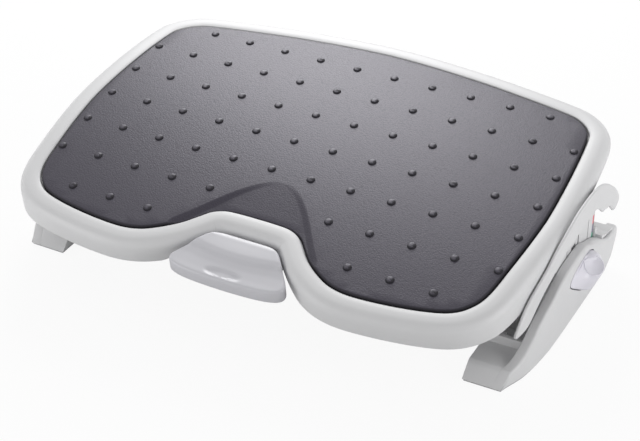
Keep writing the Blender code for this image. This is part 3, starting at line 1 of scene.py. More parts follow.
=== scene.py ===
"""The looks of an ergonomic footrest: a tilting platform with a dotted mat, carried by two stands.

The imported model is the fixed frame. Lengths are in metres. The platform's pieces are drawn in the
platform's own frame, with the middle of its top at the origin, and those of the stands and of the
cradle in a level frame on the floor.
"""

import json
import math

import bmesh
import bpy
from bpy.props import FloatProperty, FloatVectorProperty, PointerProperty
from mathutils import Matrix, Vector


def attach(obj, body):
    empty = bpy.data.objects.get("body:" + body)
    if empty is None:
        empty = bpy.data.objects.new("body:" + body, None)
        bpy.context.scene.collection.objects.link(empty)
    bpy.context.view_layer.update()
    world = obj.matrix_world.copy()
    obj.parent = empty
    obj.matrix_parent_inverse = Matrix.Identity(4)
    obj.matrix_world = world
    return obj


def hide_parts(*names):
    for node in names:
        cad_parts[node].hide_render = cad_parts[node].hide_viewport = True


bl_info = {
    "name": "Ergonomic footrest",
    "version": (1, 0, 0),
    "blender": (4, 5, 0),
    "location": "3D View > Sidebar > Footrest",
    "description": "Dresses the packed footrest with its modelled pieces, finishes and stage",
    "category": "Object",
}

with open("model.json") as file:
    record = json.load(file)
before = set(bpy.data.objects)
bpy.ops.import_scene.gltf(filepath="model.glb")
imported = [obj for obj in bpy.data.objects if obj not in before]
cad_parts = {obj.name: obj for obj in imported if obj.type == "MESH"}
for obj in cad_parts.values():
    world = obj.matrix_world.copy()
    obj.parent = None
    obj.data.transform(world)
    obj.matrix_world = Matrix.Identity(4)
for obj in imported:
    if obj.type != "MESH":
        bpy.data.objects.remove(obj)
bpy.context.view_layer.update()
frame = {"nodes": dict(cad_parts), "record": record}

# How the footrest is set in the photograph
TILT = math.radians(8.44)
CENTRE_HEIGHT = 0.1135
CENTRE_Y = -0.00804
CAMERA_PLACE = Vector((0.640, -1.208, 0.922))
CAMERA_FORWARD = Vector((-0.39054, 0.74017, -0.54739)).normalized()
CAMERA_RIGHT = Vector((0.88443, 0.46667, 0)).normalized()
CAMERA_LENS = 97.1
ON_PLATFORM = Matrix.Translation((0, CENTRE_Y, CENTRE_HEIGHT)) @ Matrix.Rotation(TILT, 4, "X")
LEVEL = Matrix.Translation((0, CENTRE_Y, 0))
SIDES = ("right", "left")
CLEAR = 0.0003
OVERRUN = 0.002
SHARP_FROM = math.radians(38)
CUT_PITCH = 0.008
NEAREST_POINTS = 0.0004

# Platform, as in the frame
MAT_HALF_WIDTH = 0.232
MAT_REACH = 0.167
MAT_DEPTH = 0.0058
HEM_ROUND = 0.0018
MAT_OUTLINE = (
    (0.0, 1.0), (0.345, 0.965), (0.603, 0.910), (0.819, 0.850), (0.888, 0.811), (0.935, 0.749),
    (0.961, 0.659), (0.986, 0.359), (1.0, 0.0), (0.9935, -0.24), (0.974, -0.503), (0.957, -0.671),
    (0.927, -0.772), (0.871, -0.844), (0.776, -0.886), (0.638, -0.916), (0.500, -0.928),
    (0.414, -0.910), (0.345, -0.862), (0.276, -0.790), (0.224, -0.710), (0.190, -0.659),
    (0.138, -0.626), (0.069, -0.618), (0.0, -0.617),
)
RING_STEPS = 6
CROWN_RADIUS = 1.54
BELL_HALF_WIDTH = 0.072
BELL_APEX = 0.056
BELL_LENGTH = 0.082
BELL_FULL_DEPTH_AT = 0.104
BELL_POINTS = 90
BELL_OUTLINE = (
    (0.0, 0.0), (0.15, 0.05), (0.28, 0.14), (0.42, 0.27), (0.56, 0.43), (0.70, 0.61), (0.85, 0.80),
    (1.0, 1.0), (1.02, 1.3),
)
DOT_PITCH_X = 0.040
DOT_PITCH_Y = 0.0431
DOT_MARGIN = 0.005
RIM_WIDTH = 0.021
TRAY_DEPTH = 0.0156
FRONT_SKIRT_DEPTH = 0.0315
SHOULDER_RADIUS = 0.009
SKIRT_WALL = 0.003
DECK_DEPTH = 0.0065
RIB_PLACES = (-0.072, 0.062, 0.112)
SPINE_PLACE = 0.125
RIB_REACH = 0.199
RIB_HALF = 0.0015
RIB_LOW = -0.014
RIB_TOP = -0.0060
PIVOT_Y = 0.005
PIVOT_DEPTH = 0.033
AXLE_RADIUS = 0.006
EAR_PLACES = (0.070, 0.190)
EAR_WIDTH = 0.009
EAR_HALF = 0.0135
EAR_TOP = -0.0062
EAR_BORE = 0.0086
EAR_SIDES = 32
NOTCH_HALF_WIDTH = 0.048
NOTCH_BLEND = 0.020
LOBE_FROM = -0.006
LOBE_BLEND = 0.079

# Pedal, as in the frame
PEDAL_HALF_WIDTH = 0.059
PEDAL_REAR = 0.12854
PEDAL_LENGTH = 0.050
PEDAL_PLAN = (
    (0.0, 0.0), (0.46, 0.0), (0.56, 0.03), (0.63, 0.12), (0.70, 0.27), (0.80, 0.45), (0.93, 0.62),
    (1.0, 0.76), (0.985, 0.84), (0.88, 0.91), (0.66, 0.965), (0.36, 0.99), (0.0, 1.0),
)
PEDAL_TOP_SHARES = (
    (0.0, 0.04), (0.10, 0.0), (0.30, 0.03), (0.38, 0.09), (0.46, 0.20), (0.60, 0.29), (0.80, 0.335),
    (1.0, 0.36),
)
CREASE_BOW = 0.10
CREASE_HALF_WIDTH = 0.040
DISH_HALF_WIDTH = 0.0195
DISH_HALF_LENGTH = 0.0052
DISH_PLACE = 0.84
DISH_DEPTH = 0.0016
PEDAL_SHIFT = 0.0015
PEDAL_TOP = 0.0075
PEDAL_HEIGHT = 0.0195
PIN_Y = -PEDAL_REAR + 0.0145
PIN_DEPTH = 0.0315
PIN_BORE = 0.0033
LUG_HALF = 0.0052
LUG_PLACE = 0.030

# Stands, as in the frame
STAND_OUTER = 0.258
STAND_INNER = 0.206
STAND_FRONT = 0.118
STAND_LENGTH = 0.239
SOLE = 0.002
PANEL_HEIGHT = 0.064
PANEL_WALL = 0.010
PANEL_FACE = STAND_OUTER - PANEL_WALL
HOLLOW_FROM = STAND_INNER + 0.0033
LIP_DROP = 0.0048
GUIDE_WALL = 0.0055
GUIDE_HOOK = 0.0045
STAND_PLAN = (
    (0.692, 0.0), (0.740, 0.034), (0.885, 0.126), (0.971, 0.259), (1.0, 0.414), (1.0, 0.950),
    (0.981, 0.977), (0.933, 0.994), (0.846, 1.0),
)
PANEL_OUTLINE = (
    (0.0, 0.0), (0.006, 0.023), (0.048, 0.188), (0.061, 0.211), (0.1, 0.273), (0.159, 0.437),
    (0.205, 0.594), (0.259, 0.719), (0.314, 0.812), (0.368, 0.906), (0.439, 0.977), (0.536, 1.0),
    (0.619, 0.992), (0.703, 0.938), (0.791, 0.812), (0.862, 0.672), (0.904, 0.617), (0.962, 0.602),
    (0.992, 0.539), (1.0, 0.437), (0.987, 0.312), (0.954, 0.141), (0.912, 0.062), (0.879, 0.0),
)
COVER_OUTLINE = (
    (0.19, 0.0), (0.19, 0.336), (0.301, 0.531), (0.385, 0.75), (0.536, 0.80), (0.703, 0.78),
    (0.828, 0.640), (0.904, 0.562), (0.954, 0.547), (0.983, 0.484), (0.99, 0.422), (0.979, 0.297),
    (0.946, 0.148), (0.879, 0.0),
)
FOOT_TOP = 0.0155
FOOT_REAR = 0.073
WELL_REAR = 0.107
HEEL_FROM = 0.090
HEEL_FLOOR = 0.0125
BOSS_PLACES = (-0.0611, -0.0310, 0.0400, 0.0875)

# Lift brackets, as in the frame
COLUMN_FRONT = 0.018
COLUMN_REAR = 0.078
COLUMN_OUTER = PANEL_FACE - 0.0004
COLUMN_INNER = COLUMN_OUTER - 0.0096
COLUMN_BOTTOM = 0.0246
COLUMN_TOP = 0.096
CHEEK_REACH = 0.118
CHEEK_HEIGHT = 0.066
CHEEK_BOTTOM = 0.050
CHEEK_WALL = 0.003
CHEEK_OUTLINE = (
    (-0.907, 0.03), (-0.839, 0.212), (-0.737, 0.386), (-0.61, 0.515), (-0.475, 0.636),
    (-0.364, 0.758), (-0.178, 0.894), (0.0, 0.97), (0.169, 1.0), (0.381, 0.992), (0.551, 0.924),
    (0.695, 0.795), (0.797, 0.667), (0.881, 0.553), (0.949, 0.432), (1.0, 0.311), (1.0, 0.227),
    (0.949, 0.167), (0.898, 0.159), (0.847, 0.235), (0.78, 0.341), (0.703, 0.379), (0.665, 0.402),
    (0.619, 0.417), (0.559, 0.508), (0.492, 0.591), (0.398, 0.636), (0.059, 0.621), (-0.169, 0.598),
    (-0.331, 0.477), (-0.415, 0.402), (-0.5, 0.326), (-0.602, 0.197), (-0.712, 0.038),
    (-0.814, 0.0),
)
LEFT_CHEEK_DROP = 0.0155
GROOVES = ((0.036, 0.003, 0.006), (0.008, 0.0014, 0.003), (0.062, 0.0014, 0.003))
BOSS_RADIUS = 0.012
BOSS_LENGTH = 0.0250
TOOTH_HALF = 0.0021
TOOTH_REACH = 0.0025
AXLE_Y = PIVOT_Y * math.cos(TILT) + PIVOT_DEPTH * math.sin(TILT)
AXLE_Z = CENTRE_HEIGHT + PIVOT_Y * math.sin(TILT) - PIVOT_DEPTH * math.cos(TILT)
STEM_Y = 0.024
STEM_Z = 0.044
STEM_RADIUS = 0.004
STEM_END = 0.2287
STEM_LENGTH = 0.0251
SLIDE_TRAVEL = 0.01905

# Side buttons, as in the frame
BUTTON_CENTRE = (0.025, 0.0385)
BUTTON_HALF_LENGTH = 0.031
BUTTON_HALF_HEIGHT = 0.0185
BUTTON_OUTLINE = (
    (-1.0, 0.40), (-0.90, 0.62), (-0.68, 0.80), (-0.35, 0.93), (0.03, 0.99), (0.42, 0.95), (0.74, 0.73),
    (0.95, 0.35), (1.0, -0.03), (0.87, -0.46), (0.61, -0.80), (0.29, -0.93), (0.0, -0.82),
    (-0.32, -0.50), (-0.65, -0.12), (-0.87, 0.15),
)
BUTTON_SIDES = 72
BUTTON_FACE = Vector((0.2672, 0.0285, 0.050))
BUTTON_AIM = Vector((0.52, -0.42, 0.74)).normalized()
POD_HEIGHT = 0.0088
POD_FROM = -0.004
POD_RISE = 0.036
BAND_STEP = 0.009525
BAND_TOP = 0.0705

# Stage
FLOOR_RADIUS = 6
FLOOR_GLOW = 0.92
SURROUND_LEVEL = 0.49
LAMPS = (
    ("lamp_behind", (-0.50, 0.90, 0.82), (0, 0.05, 0.10), 0.70, 10),
    ("lamp_front_left", (-1.3, -1.35, 0.3), (0, 0, 0.05), 1.2, 12),
    ("lamp_right", (1.7, 0.0, 0.45), (0.2, 0, 0.05), 1.1, 10),
)


def colour(name, description, default):
    return FloatVectorProperty(name=name, description=description, subtype="COLOR", size=3, min=0, max=1,
                               default=default)


def length(name, description, least, most, default):
    return FloatProperty(name=name, description=description, unit="LENGTH", min=least, max=most,
                         default=default)


class FootrestFinishes(bpy.types.PropertyGroup):
    """Colours and grain of the footrest's finishes."""

    grey_plastic: colour("Light grey plastic", "Colour of the tray, the stands and the lift brackets",
                         (0.670, 0.670, 0.678))
    mat_colour: colour("Mat", "Colour of the dotted mat", (0.031, 0.0280, 0.040))
    pedal_colour: colour("Pedal", "Colour of the tilt pedal", (0.590, 0.587, 0.620))
    button_colour: colour("Side buttons", "Colour of the two height buttons", (0.750, 0.736, 0.800))
    band_red: colour("Upper band", "Colour of the height scale's upper band", (0.80, 0.16, 0.20))
    band_slate: colour("Middle band", "Colour of the height scale's middle band", (0.17, 0.15, 0.24))
    band_green: colour("Lower bands", "Colour of the height scale's lower bands", (0.02, 0.34, 0.21))
    mat_grain: length("Mat grain", "Size of the pebbles in the mat's skin", 0.0002, 0.005, 0.0015)
    plastic_grain: length("Plastic grain", "Size of the fine spark grain on the plastic", 0.0001, 0.003,
                          0.00045)


class FootrestSizes(bpy.types.PropertyGroup):
    """Sizes of the dressed pieces that the frame leaves open."""

    dot_radius: length("Dot radius", "Radius of the mat's raised dots at their foot", 0.002, 0.006, 0.0040)
    dot_height: length("Dot height", "How far the dots stand out of the mat", 0.0005, 0.0025, 0.0015)
    bell_depth: length("Bell depth", "How deep the bell at the mat's front is sunk", 0.001, 0.005, 0.0034)
    bell_wall: length("Bell wall", "Width of the soft step round the bell", 0.001, 0.008, 0.0065)
    mat_gap: length("Mat gap", "Gap between the mat and the rim", 0.0003, 0.002, 0.0016)
    pedal_round: length("Pedal round", "Radius of the pedal's edges", 0.0008, 0.004, 0.0024)
    panel_round: length("Panel round", "Radius of the stands' outer edge", 0.0005, 0.004, 0.0030)
    cheek_round: length("Cheek round", "Radius of the cheeks' edges", 0.0003, 0.00145, 0.0014)


# Outlines

def smooth(points, steps, closed=True):
    """A smooth curve through the points, with steps pieces between two of them."""
    places = [Vector(p) for p in points]
    count = len(places)
    spans = count if closed else count - 1

    def at(index):
        return places[index % count] if closed else places[min(max(index, 0), count - 1)]

    line = []
    for index in range(spans):
        p0, p1, p2, p3 = (at(index + k - 1) for k in range(4))
        for step in range(steps):
            t = step / steps
            line.append((2 * p1 + t * (p2 - p0) + t * t * (2 * p0 - 5 * p1 + 4 * p2 - p3)
                         + t * t * t * (3 * p1 - p0 - 3 * p2 + p3)) / 2)
    return line if closed else line + [places[-1]]


def shifted(before, point, after, distance):
    """A point of a line moved by distance to the left of where the line goes."""
    along = (after - before).normalized()
    return point + Vector((-along.y, along.x)) * distance


def grown(ring, distance):
    """A clockwise ring moved outwards by distance."""
    following = ring[1:] + ring[:1]
    return [shifted(a, b, c, distance) for (a, b), c in zip(pairs(ring), following)]


def pairs(ring):
    """Each point of a ring, after the one before it."""
    return zip(ring[-1:] + ring[:-1], ring)


def both_halves(half):
    """A whole outline from its right half, which starts and ends on the middle line."""
    return [Vector(p) for p in half] + [Vector((-p[0], p[1])) for p in reversed(half[1:-1])]


def inside(ring, x, y):
    """Whether the ring goes round a place."""
    crossings = 0
    for a, b in pairs(ring):
        if (a.y > y) != (b.y > y) and x < a.x + (b.x - a.x) * (y - a.y) / (b.y - a.y):
            crossings += 1
    return crossings % 2 == 1


def nearest(ring, point):
    """The place on the ring that is nearest to a point."""
    places = []
    for a, b in pairs(ring):
        span = b - a
        places.append(a + span * clamped((point - a).dot(span) / max(span.length_squared, 1e-12)))
    return min(places, key=lambda place: (place - point).length)


def meeting(start, along, other, span):
    """How far along each of two lines they meet: the first goes from start, the second from other."""
    across = along.x * span.y - along.y * span.x
    if abs(across) < 1e-15:
        return None
    gap = other - start
    return (gap.x * span.y - gap.y * span.x) / across, (gap.x * along.y - gap.y * along.x) / across


def read_off(line, y):
    """The x of a line that runs along y."""
    for a, b in zip(line, line[1:]):
        low, high = (a, b) if a.y <= b.y else (b, a)
        if low.y <= y <= high.y and high.y > low.y:
            return low.x + (high.x - low.x) * (y - low.y) / (high.y - low.y)
    ends = sorted((line[0], line[-1]), key=lambda p: abs(p.y - y))
    return ends[0].x


def clamped(t):
    return min(max(t, 0), 1)


def eased(t):
    t = clamped(t)
    return t * t * (3 - 2 * t)


def crown(y):
    """How far the platform's crowned top has fallen at y."""
    return y * y / (2 * CROWN_RADIUS)


def skirt_drop(x, y):
    """How much deeper than elsewhere the skirt is under the front lobes."""
    side = clamped((abs(x) - NOTCH_HALF_WIDTH) / NOTCH_BLEND)
    return (FRONT_SKIRT_DEPTH - TRAY_DEPTH - crown(y)) * side * eased((LOBE_FROM - y) / LOBE_BLEND)


mat_half = [(a * MAT_HALF_WIDTH, b * MAT_REACH) for a, b in MAT_OUTLINE]
mat_ring = smooth(both_halves(mat_half), RING_STEPS)
tray_ring = grown(mat_ring, RIM_WIDTH)
panel_plan = smooth([(STAND_INNER + a * (STAND_OUTER - STAND_INNER), -STAND_FRONT + b * STAND_LENGTH)
                     for a, b in STAND_PLAN], 8, closed=False)


def stand_side(shares):
    return [(-STAND_FRONT + a * STAND_LENGTH, SOLE + b * PANEL_HEIGHT) for a, b in shares]


def cheek_face(y):
    """Inner face of a cheek: clear of the rim in front, straight behind the widest place."""
    if y > PIVOT_Y:
        return MAT_HALF_WIDTH + RIM_WIDTH + 0.0008
    return read_off([p for p in tray_ring if p.x > MAT_HALF_WIDTH / 2], y) + 0.0008


# Modelling

def next_row(shape, verts, edges):
    """Walls extruded from a row of edges: the new verts, in the old ones' order, and the new edges."""
    made = bmesh.ops.extrude_edge_only(shape, edges=edges)["geom"]
    fresh = {v for v in made if isinstance(v, bmesh.types.BMVert)}
    row = [next(w for w in (e.other_vert(v) for e in v.link_edges) if w in fresh) for v in verts]
    return row, [e for e in made if isinstance(e, bmesh.types.BMEdge) and set(e.verts) <= fresh]


def loft(shape, rings, first_cap=True, last_cap=True):
    """Walls from ring to ring, each extruded from the one before, with caps at the ends."""
    loops = [[shape.verts.new(p) for p in rings[0]]]
    edges = [shape.edges.new(pair) for pair in zip(loops[0], loops[0][1:] + loops[0][:1])]
    for ring in rings[1:]:
        row, edges = next_row(shape, loops[-1], edges)
        for vert, place in zip(row, ring):
            vert.co = place
        loops.append(row)
    if first_cap:
        shape.faces.new(loops[0])
    if last_cap:
        shape.faces.new(loops[-1])
    return loops


def along_x(line, places):
    """The line, drawn in Y and Z, at each place along X."""
    return [[(x, y, z) for y, z in line] for x in places]


def pillow(shape, outline, low, high, low_round, high_round, segments=4, plane="XY"):
    """An outline given its thickness, with both rims rounded. A round may be a function of the point."""
    def radius(kind, point):
        return kind(point) if callable(kind) else kind

    def ring(kind, level, sign, turn):
        points = []
        for point, moved in zip(outline, grown(outline, 1)):
            r = radius(kind, point)
            out = moved - point
            place = point - out * r * (1 - math.sin(turn))
            height = level + sign * r * (1 - math.cos(turn))
            points.append((place.x, place.y, height) if plane == "XY" else (height, place.x, place.y))
        return points

    turns = [math.pi / 2 * i / segments for i in range(segments + 1)]
    rings = [ring(low_round, low, 1, t) for t in turns]
    rings += [ring(high_round, high, -1, t) for t in reversed(turns)]
    return loft(shape, rings)


def clockwise(points):
    """The outline as vectors that run clockwise, as grown wants them, without points too near."""
    ring = [Vector(p) for p in points]
    ring = [b for a, b in pairs(ring) if (b - a).length > NEAREST_POINTS]
    area = sum(a.x * b.y - b.x * a.y for a, b in zip(ring, ring[1:] + ring[:1]))
    return ring if area < 0 else list(reversed(ring))


def box(shape, low, high, bevel):
    """A block with softened edges."""
    low, high = Vector(low), Vector(high)
    made = bmesh.ops.create_cube(shape, size=1)["verts"]
    for vert in made:
        vert.co = Vector([c * s for c, s in zip(vert.co, high - low)]) + (low + high) / 2
    if bevel:
        edges = {e for v in made for e in v.link_edges}
        bmesh.ops.bevel(shape, geom=list(edges), offset=bevel, segments=2, profile=0.5,
                        affect="EDGES", material=-1)


def cutting_block(low, high):
    """A sharp block of its own, to cut with."""
    tool = bmesh.new()
    box(tool, low, high, 0)
    return tool


def turned(shape, profile, centre, axis, sides):
    """A piece turned on a lathe: a profile of (radius, place along the axis), spun round it."""
    centre = Vector(centre)
    axis = Vector(axis).normalized()
    side = axis.orthogonal().normalized()
    verts = [shape.verts.new(centre + side * r + axis * a) for r, a in profile]
    edges = [shape.edges.new(pair) for pair in zip(verts, verts[1:])]
    if profile[0][0] > 0 and profile[-1][0] > 0:
        edges.append(shape.edges.new((verts[-1], verts[0])))
    before = set(shape.verts) - set(verts)
    bmesh.ops.spin(shape, geom=verts + edges, cent=centre, axis=axis, dvec=(0, 0, 0),
                   angle=math.tau, steps=sides, use_merge=True, use_duplicate=False)
    made = [v for v in shape.verts if v not in before]
    bmesh.ops.remove_doubles(shape, verts=made, dist=1e-6)


def sliced(shape, axis, pitch, low, high):
    """Cuts the shape across an axis at a steady pitch."""
    normal = Vector([1 if i == axis else 0 for i in range(3)])
    place = low
    while place < high:
        bmesh.ops.bisect_plane(shape, geom=shape.verts[:] + shape.edges[:] + shape.faces[:],
                               dist=1e-6, plane_co=normal * place, plane_no=normal)
        place += pitch


def cut_cap(shape, cap, normal, points):
    """The faces of a cap after a cut across the normal at each point."""
    for point in points:
        faces = {f for f in cap if f.is_valid}
        geom = list(faces | {e for f in faces for e in f.edges} | {v for f in faces for v in f.verts})
        done = bmesh.ops.bisect_plane(shape, geom=geom, dist=1e-6, plane_co=point, plane_no=normal)
        cap = [g for g in done["geom"] if isinstance(g, bmesh.types.BMFace)]
    return cap


def verts_in(cap):
    return {v for f in cap if f.is_valid for v in f.verts}


def without_large_faces(shape):
    bmesh.ops.triangulate(shape, faces=[f for f in shape.faces if len(f.verts) > 4])


def joined(shape, other):
    """Moves another shape into a shape."""
    mesh = bpy.data.meshes.new("joined")
    other.to_mesh(mesh)
    other.free()
    shape.from_mesh(mesh)
    bpy.data.meshes.remove(mesh)


def closed_piece(name, shape, place):
    """An object from a shape, with its place in its mesh and its faces outwards."""
    shape.transform(place)
    bmesh.ops.recalc_face_normals(shape, faces=shape.faces)
    mesh = bpy.data.meshes.new(name)
    shape.to_mesh(mesh)
    shape.free()
    mesh.shade_smooth()
    mesh.set_sharp_from_angle(angle=SHARP_FROM)
    piece = bpy.data.objects.new(name, mesh)
    bpy.context.scene.collection.objects.link(piece)
    return piece


def carved(shape, tools):
    """The shape with other shapes cut out of it."""
    body = closed_piece("carving", shape, Matrix.Identity(4))
    for tool in tools:
        cutter = closed_piece("cutter", tool, Matrix.Identity(4))
        step = body.modifiers.new("cut", "BOOLEAN")
        step.operation = "DIFFERENCE"
        step.solver = "EXACT"
        step.object = cutter
        bpy.context.view_layer.update()
        mesh = bpy.data.meshes.new_from_object(
            body.evaluated_get(bpy.context.evaluated_depsgraph_get()))
        body.modifiers.clear()
        body.data = mesh
        bpy.data.objects.remove(cutter)
    result = bmesh.new()
    result.from_mesh(body.data)
    bpy.data.objects.remove(body)
    return result


# Platform pieces

def bell_line(distance):
    """The bell's outline moved outwards by distance, from its apex to the right front."""
    half = [(a * BELL_HALF_WIDTH, -BELL_APEX - b * BELL_LENGTH) for a, b in BELL_OUTLINE]
    whole = smooth([(-x, y) for x, y in reversed(half[1:])] + half, 12, closed=False)
    triples = zip(whole[:1] + whole[:-1], whole, whole[1:] + whole[-1:])
    moved = [shifted(before, point, after, distance) for before, point, after in triples]
    return [p for p in moved if p.x >= -1e-6]


def crossing(line, ring):
    """Where a line that starts inside a ring leaves it: the point, and the ring's next index."""
    for a, b in zip(line, line[1:]):
        if inside(ring, b.x, b.y):
            continue
        for index, (start, end) in enumerate(pairs(ring)):
            met = meeting(a, b - a, start, end - start)
            if met and -1e-9 <= met[0] <= 1 and 0 <= met[1] <= 1:
                return a + (b - a) * met[0], index, line.index(a)
    raise RuntimeError("the bell's outline never leaves the mat")


def spaced(line, count):
    """The line again, with count points at even spacing."""
    lengths = [0]
    for a, b in zip(line, line[1:]):
        lengths.append(lengths[-1] + (b - a).length)
    even = []
    index = 0
    for k in range(count):
        want = lengths[-1] * k / (count - 1)
        while index < len(line) - 2 and lengths[index + 1] < want:
            index += 1
        span = max(lengths[index + 1] - lengths[index], 1e-12)
        share = clamped((want - lengths[index]) / span)
        even.append(line[index] + (line[index + 1] - line[index]) * share)
    return even


def mat_sheet(shape, sunk, bell_wall):
    """The mat's flat sheet, whose faces follow the bell: sunk goes from 0 round it to 1 in it."""
    ring = grown(mat_ring, -HEM_ROUND)
    bends = [0, 0.08, 0.22, 0.40, 0.60, 0.78, 0.92, 1]
    lines = []
    for share in bends:
        line = bell_line(bell_wall * (0.5 - share))
        place, index, last = crossing(line, ring)
        lines.append((spaced(line[:last + 1] + [place], BELL_POINTS), index))
    made = {}

    def spot(point, value):
        key = (round(point.x, 7), round(point.y, 7))
        if key not in made:
            made[key] = shape.verts.new((point.x, point.y, 0))
            made[key][sunk] = value
        return made[key]

    def twins(points):
        return [Vector((-p.x, p.y)) for p in points]

    (first, first_index), (last, last_index) = lines[0], lines[-1]
    around = ring[:first_index]
    shape.faces.new([spot(p, 0) for p in around + first[::-1] + twins(first[1:]) + twins(around[:0:-1])])
    front = ring[last_index:len(ring) // 2 + 1]
    shape.faces.new([spot(p, 1) for p in last + front + twins(front[-2::-1]) + twins(last[:0:-1])])
    depths = [eased(share) for share in bends]
    for (near, _), (far, _), high, low in zip(lines, lines[1:], depths, depths[1:]):
        for a, b in ((near, far), (twins(near), twins(far))):
            for a0, a1, b0, b1 in zip(a, a[1:], b, b[1:]):
                shape.faces.new([spot(a0, high), spot(a1, high), spot(b1, low), spot(b0, low)])
    sliced(shape, 1, CUT_PITCH, -0.176, 0.176)
    sliced(shape, 0, CUT_PITCH * 2, -0.240, 0.240)
    for face in shape.faces:
        if face.normal.z < 0:
            face.normal_flip()


def mat_hem(shape, sunk, edge):
    """The mat's rounded hem, its side and its underside, marked in the edge layer for painted shade."""
    border = [e for e in shape.edges if e.is_boundary]
    out = {}
    for vert in {v for e in border for v in e.verts}:
        aim = Vector()
        for e in vert.link_edges:
            if e.is_boundary:
                along = (e.verts[1].co - e.verts[0].co).normalized()
                side = Vector((along.y, -along.x, 0))
                if side.dot(e.link_faces[0].calc_center_median() - e.verts[0].co) > 0:
                    side = -side
                aim += side
        out[vert] = aim.normalized()
    start = {v: v.co.copy() for v in out}
    edges, level = border, list(out)
    for turn in (30, 60, 90, None):
        row, edges = next_row(shape, level, edges)
        angle = math.radians(90 if turn is None else turn)
        drop = -MAT_DEPTH if turn is None else -HEM_ROUND * (1 - math.cos(angle))
        for vert, twin in zip(level, row):
            twin.co = start[vert] + out[vert] * HEM_ROUND * math.sin(angle) + Vector((0, 0, drop))
            out[twin], start[twin] = out[vert], start[vert]
            twin[sunk] = vert[sunk] if turn is not None else -1
            # The edge value marks the hem, the side and the underside for painted shade: the mat's finish
            # paints them near black to stand in for the shade in the gap round the mat.
            twin[edge] = 0.7 if turn == 30 else 1
        level = row
    bmesh.ops.contextual_create(shape, geom=edges)


def mat_shape(sizes):
    """The mat: one sheet with a sunk bell, a rounded hem and domed dots, whose hem and dot sides carry
    painted shade.
    """
    shape = bmesh.new()
    sunk = shape.verts.layers.float.new("sunk")
    # The edge layer marks where the mat's finish paints shade: the hem and the dots' sides.
    edge = shape.verts.layers.float.new("edge")
    mat_sheet(shape, sunk, sizes.bell_wall)
    mat_hem(shape, sunk, edge)
    for vert in shape.verts:
        x, y, z = vert.co
        fall = (-BELL_APEX - y) / (BELL_FULL_DEPTH_AT - BELL_APEX)
        if vert[sunk] > 0:
            vert.co.z -= sizes.bell_depth * vert[sunk] * clamped(fall)
        vert.co.z -= crown(y)
    without_large_faces(shape)
    r, h = sizes.dot_radius, sizes.dot_height
    dome = [(0, -0.0004), (r + 0.0001, -0.0004), (r, 0.0002), (r * 0.95, h * 0.45), (r * 0.82, h * 0.76),
            (r * 0.55, h * 0.95), (0, h)]
    limit = grown(mat_ring, -DOT_MARGIN)
    hollow = both_halves([(p.x, p.y) for p in bell_line(DOT_MARGIN)])
    for row in range(-4, 5):
        for column in range(-7, 7):
            x, y = (column + 0.5) * DOT_PITCH_X, row * DOT_PITCH_Y
            if inside(limit, x, y) and not inside(hollow, x, y):
                before = len(shape.verts)
                turned(shape, dome, (x, y, -crown(y)), (0, y / CROWN_RADIUS, 1), 20)
                shape.verts.ensure_lookup_table()
                for vert in shape.verts[before:]:
                    # The edge value marks each dot's steep side and foot for painted shade, standing in for
                    # the shade on the dots' sides.
                    out = (vert.co.xy - Vector((x, y))).length / r
                    vert[edge] = eased((out - 0.62) / 0.26)
    return shape


def ear(shape, y, z, half, top, bore, x, width):
    """A hanging ear with a round bore: straight flanks from the deck and a round lower end."""
    outline, hole = [], []
    for k in range(EAR_SIDES):
        angle = math.tau * k / EAR_SIDES
        aim = Vector((math.cos(angle), math.sin(angle)))
        reach = half
        if aim.y > 0:
            reach = min(half / max(abs(aim.x), 1e-9), (top - z) / max(aim.y, 1e-9))
        outline.append(Vector((y, z)) + aim * reach)
        hole.append(Vector((y, z)) + aim * bore)
    outer, inner = (along_x(line, (x - width / 2, x + width / 2)) for line in (outline, hole))
    loft(shape, [inner[0], outer[0], outer[1], inner[1], inner[0]], False, False)


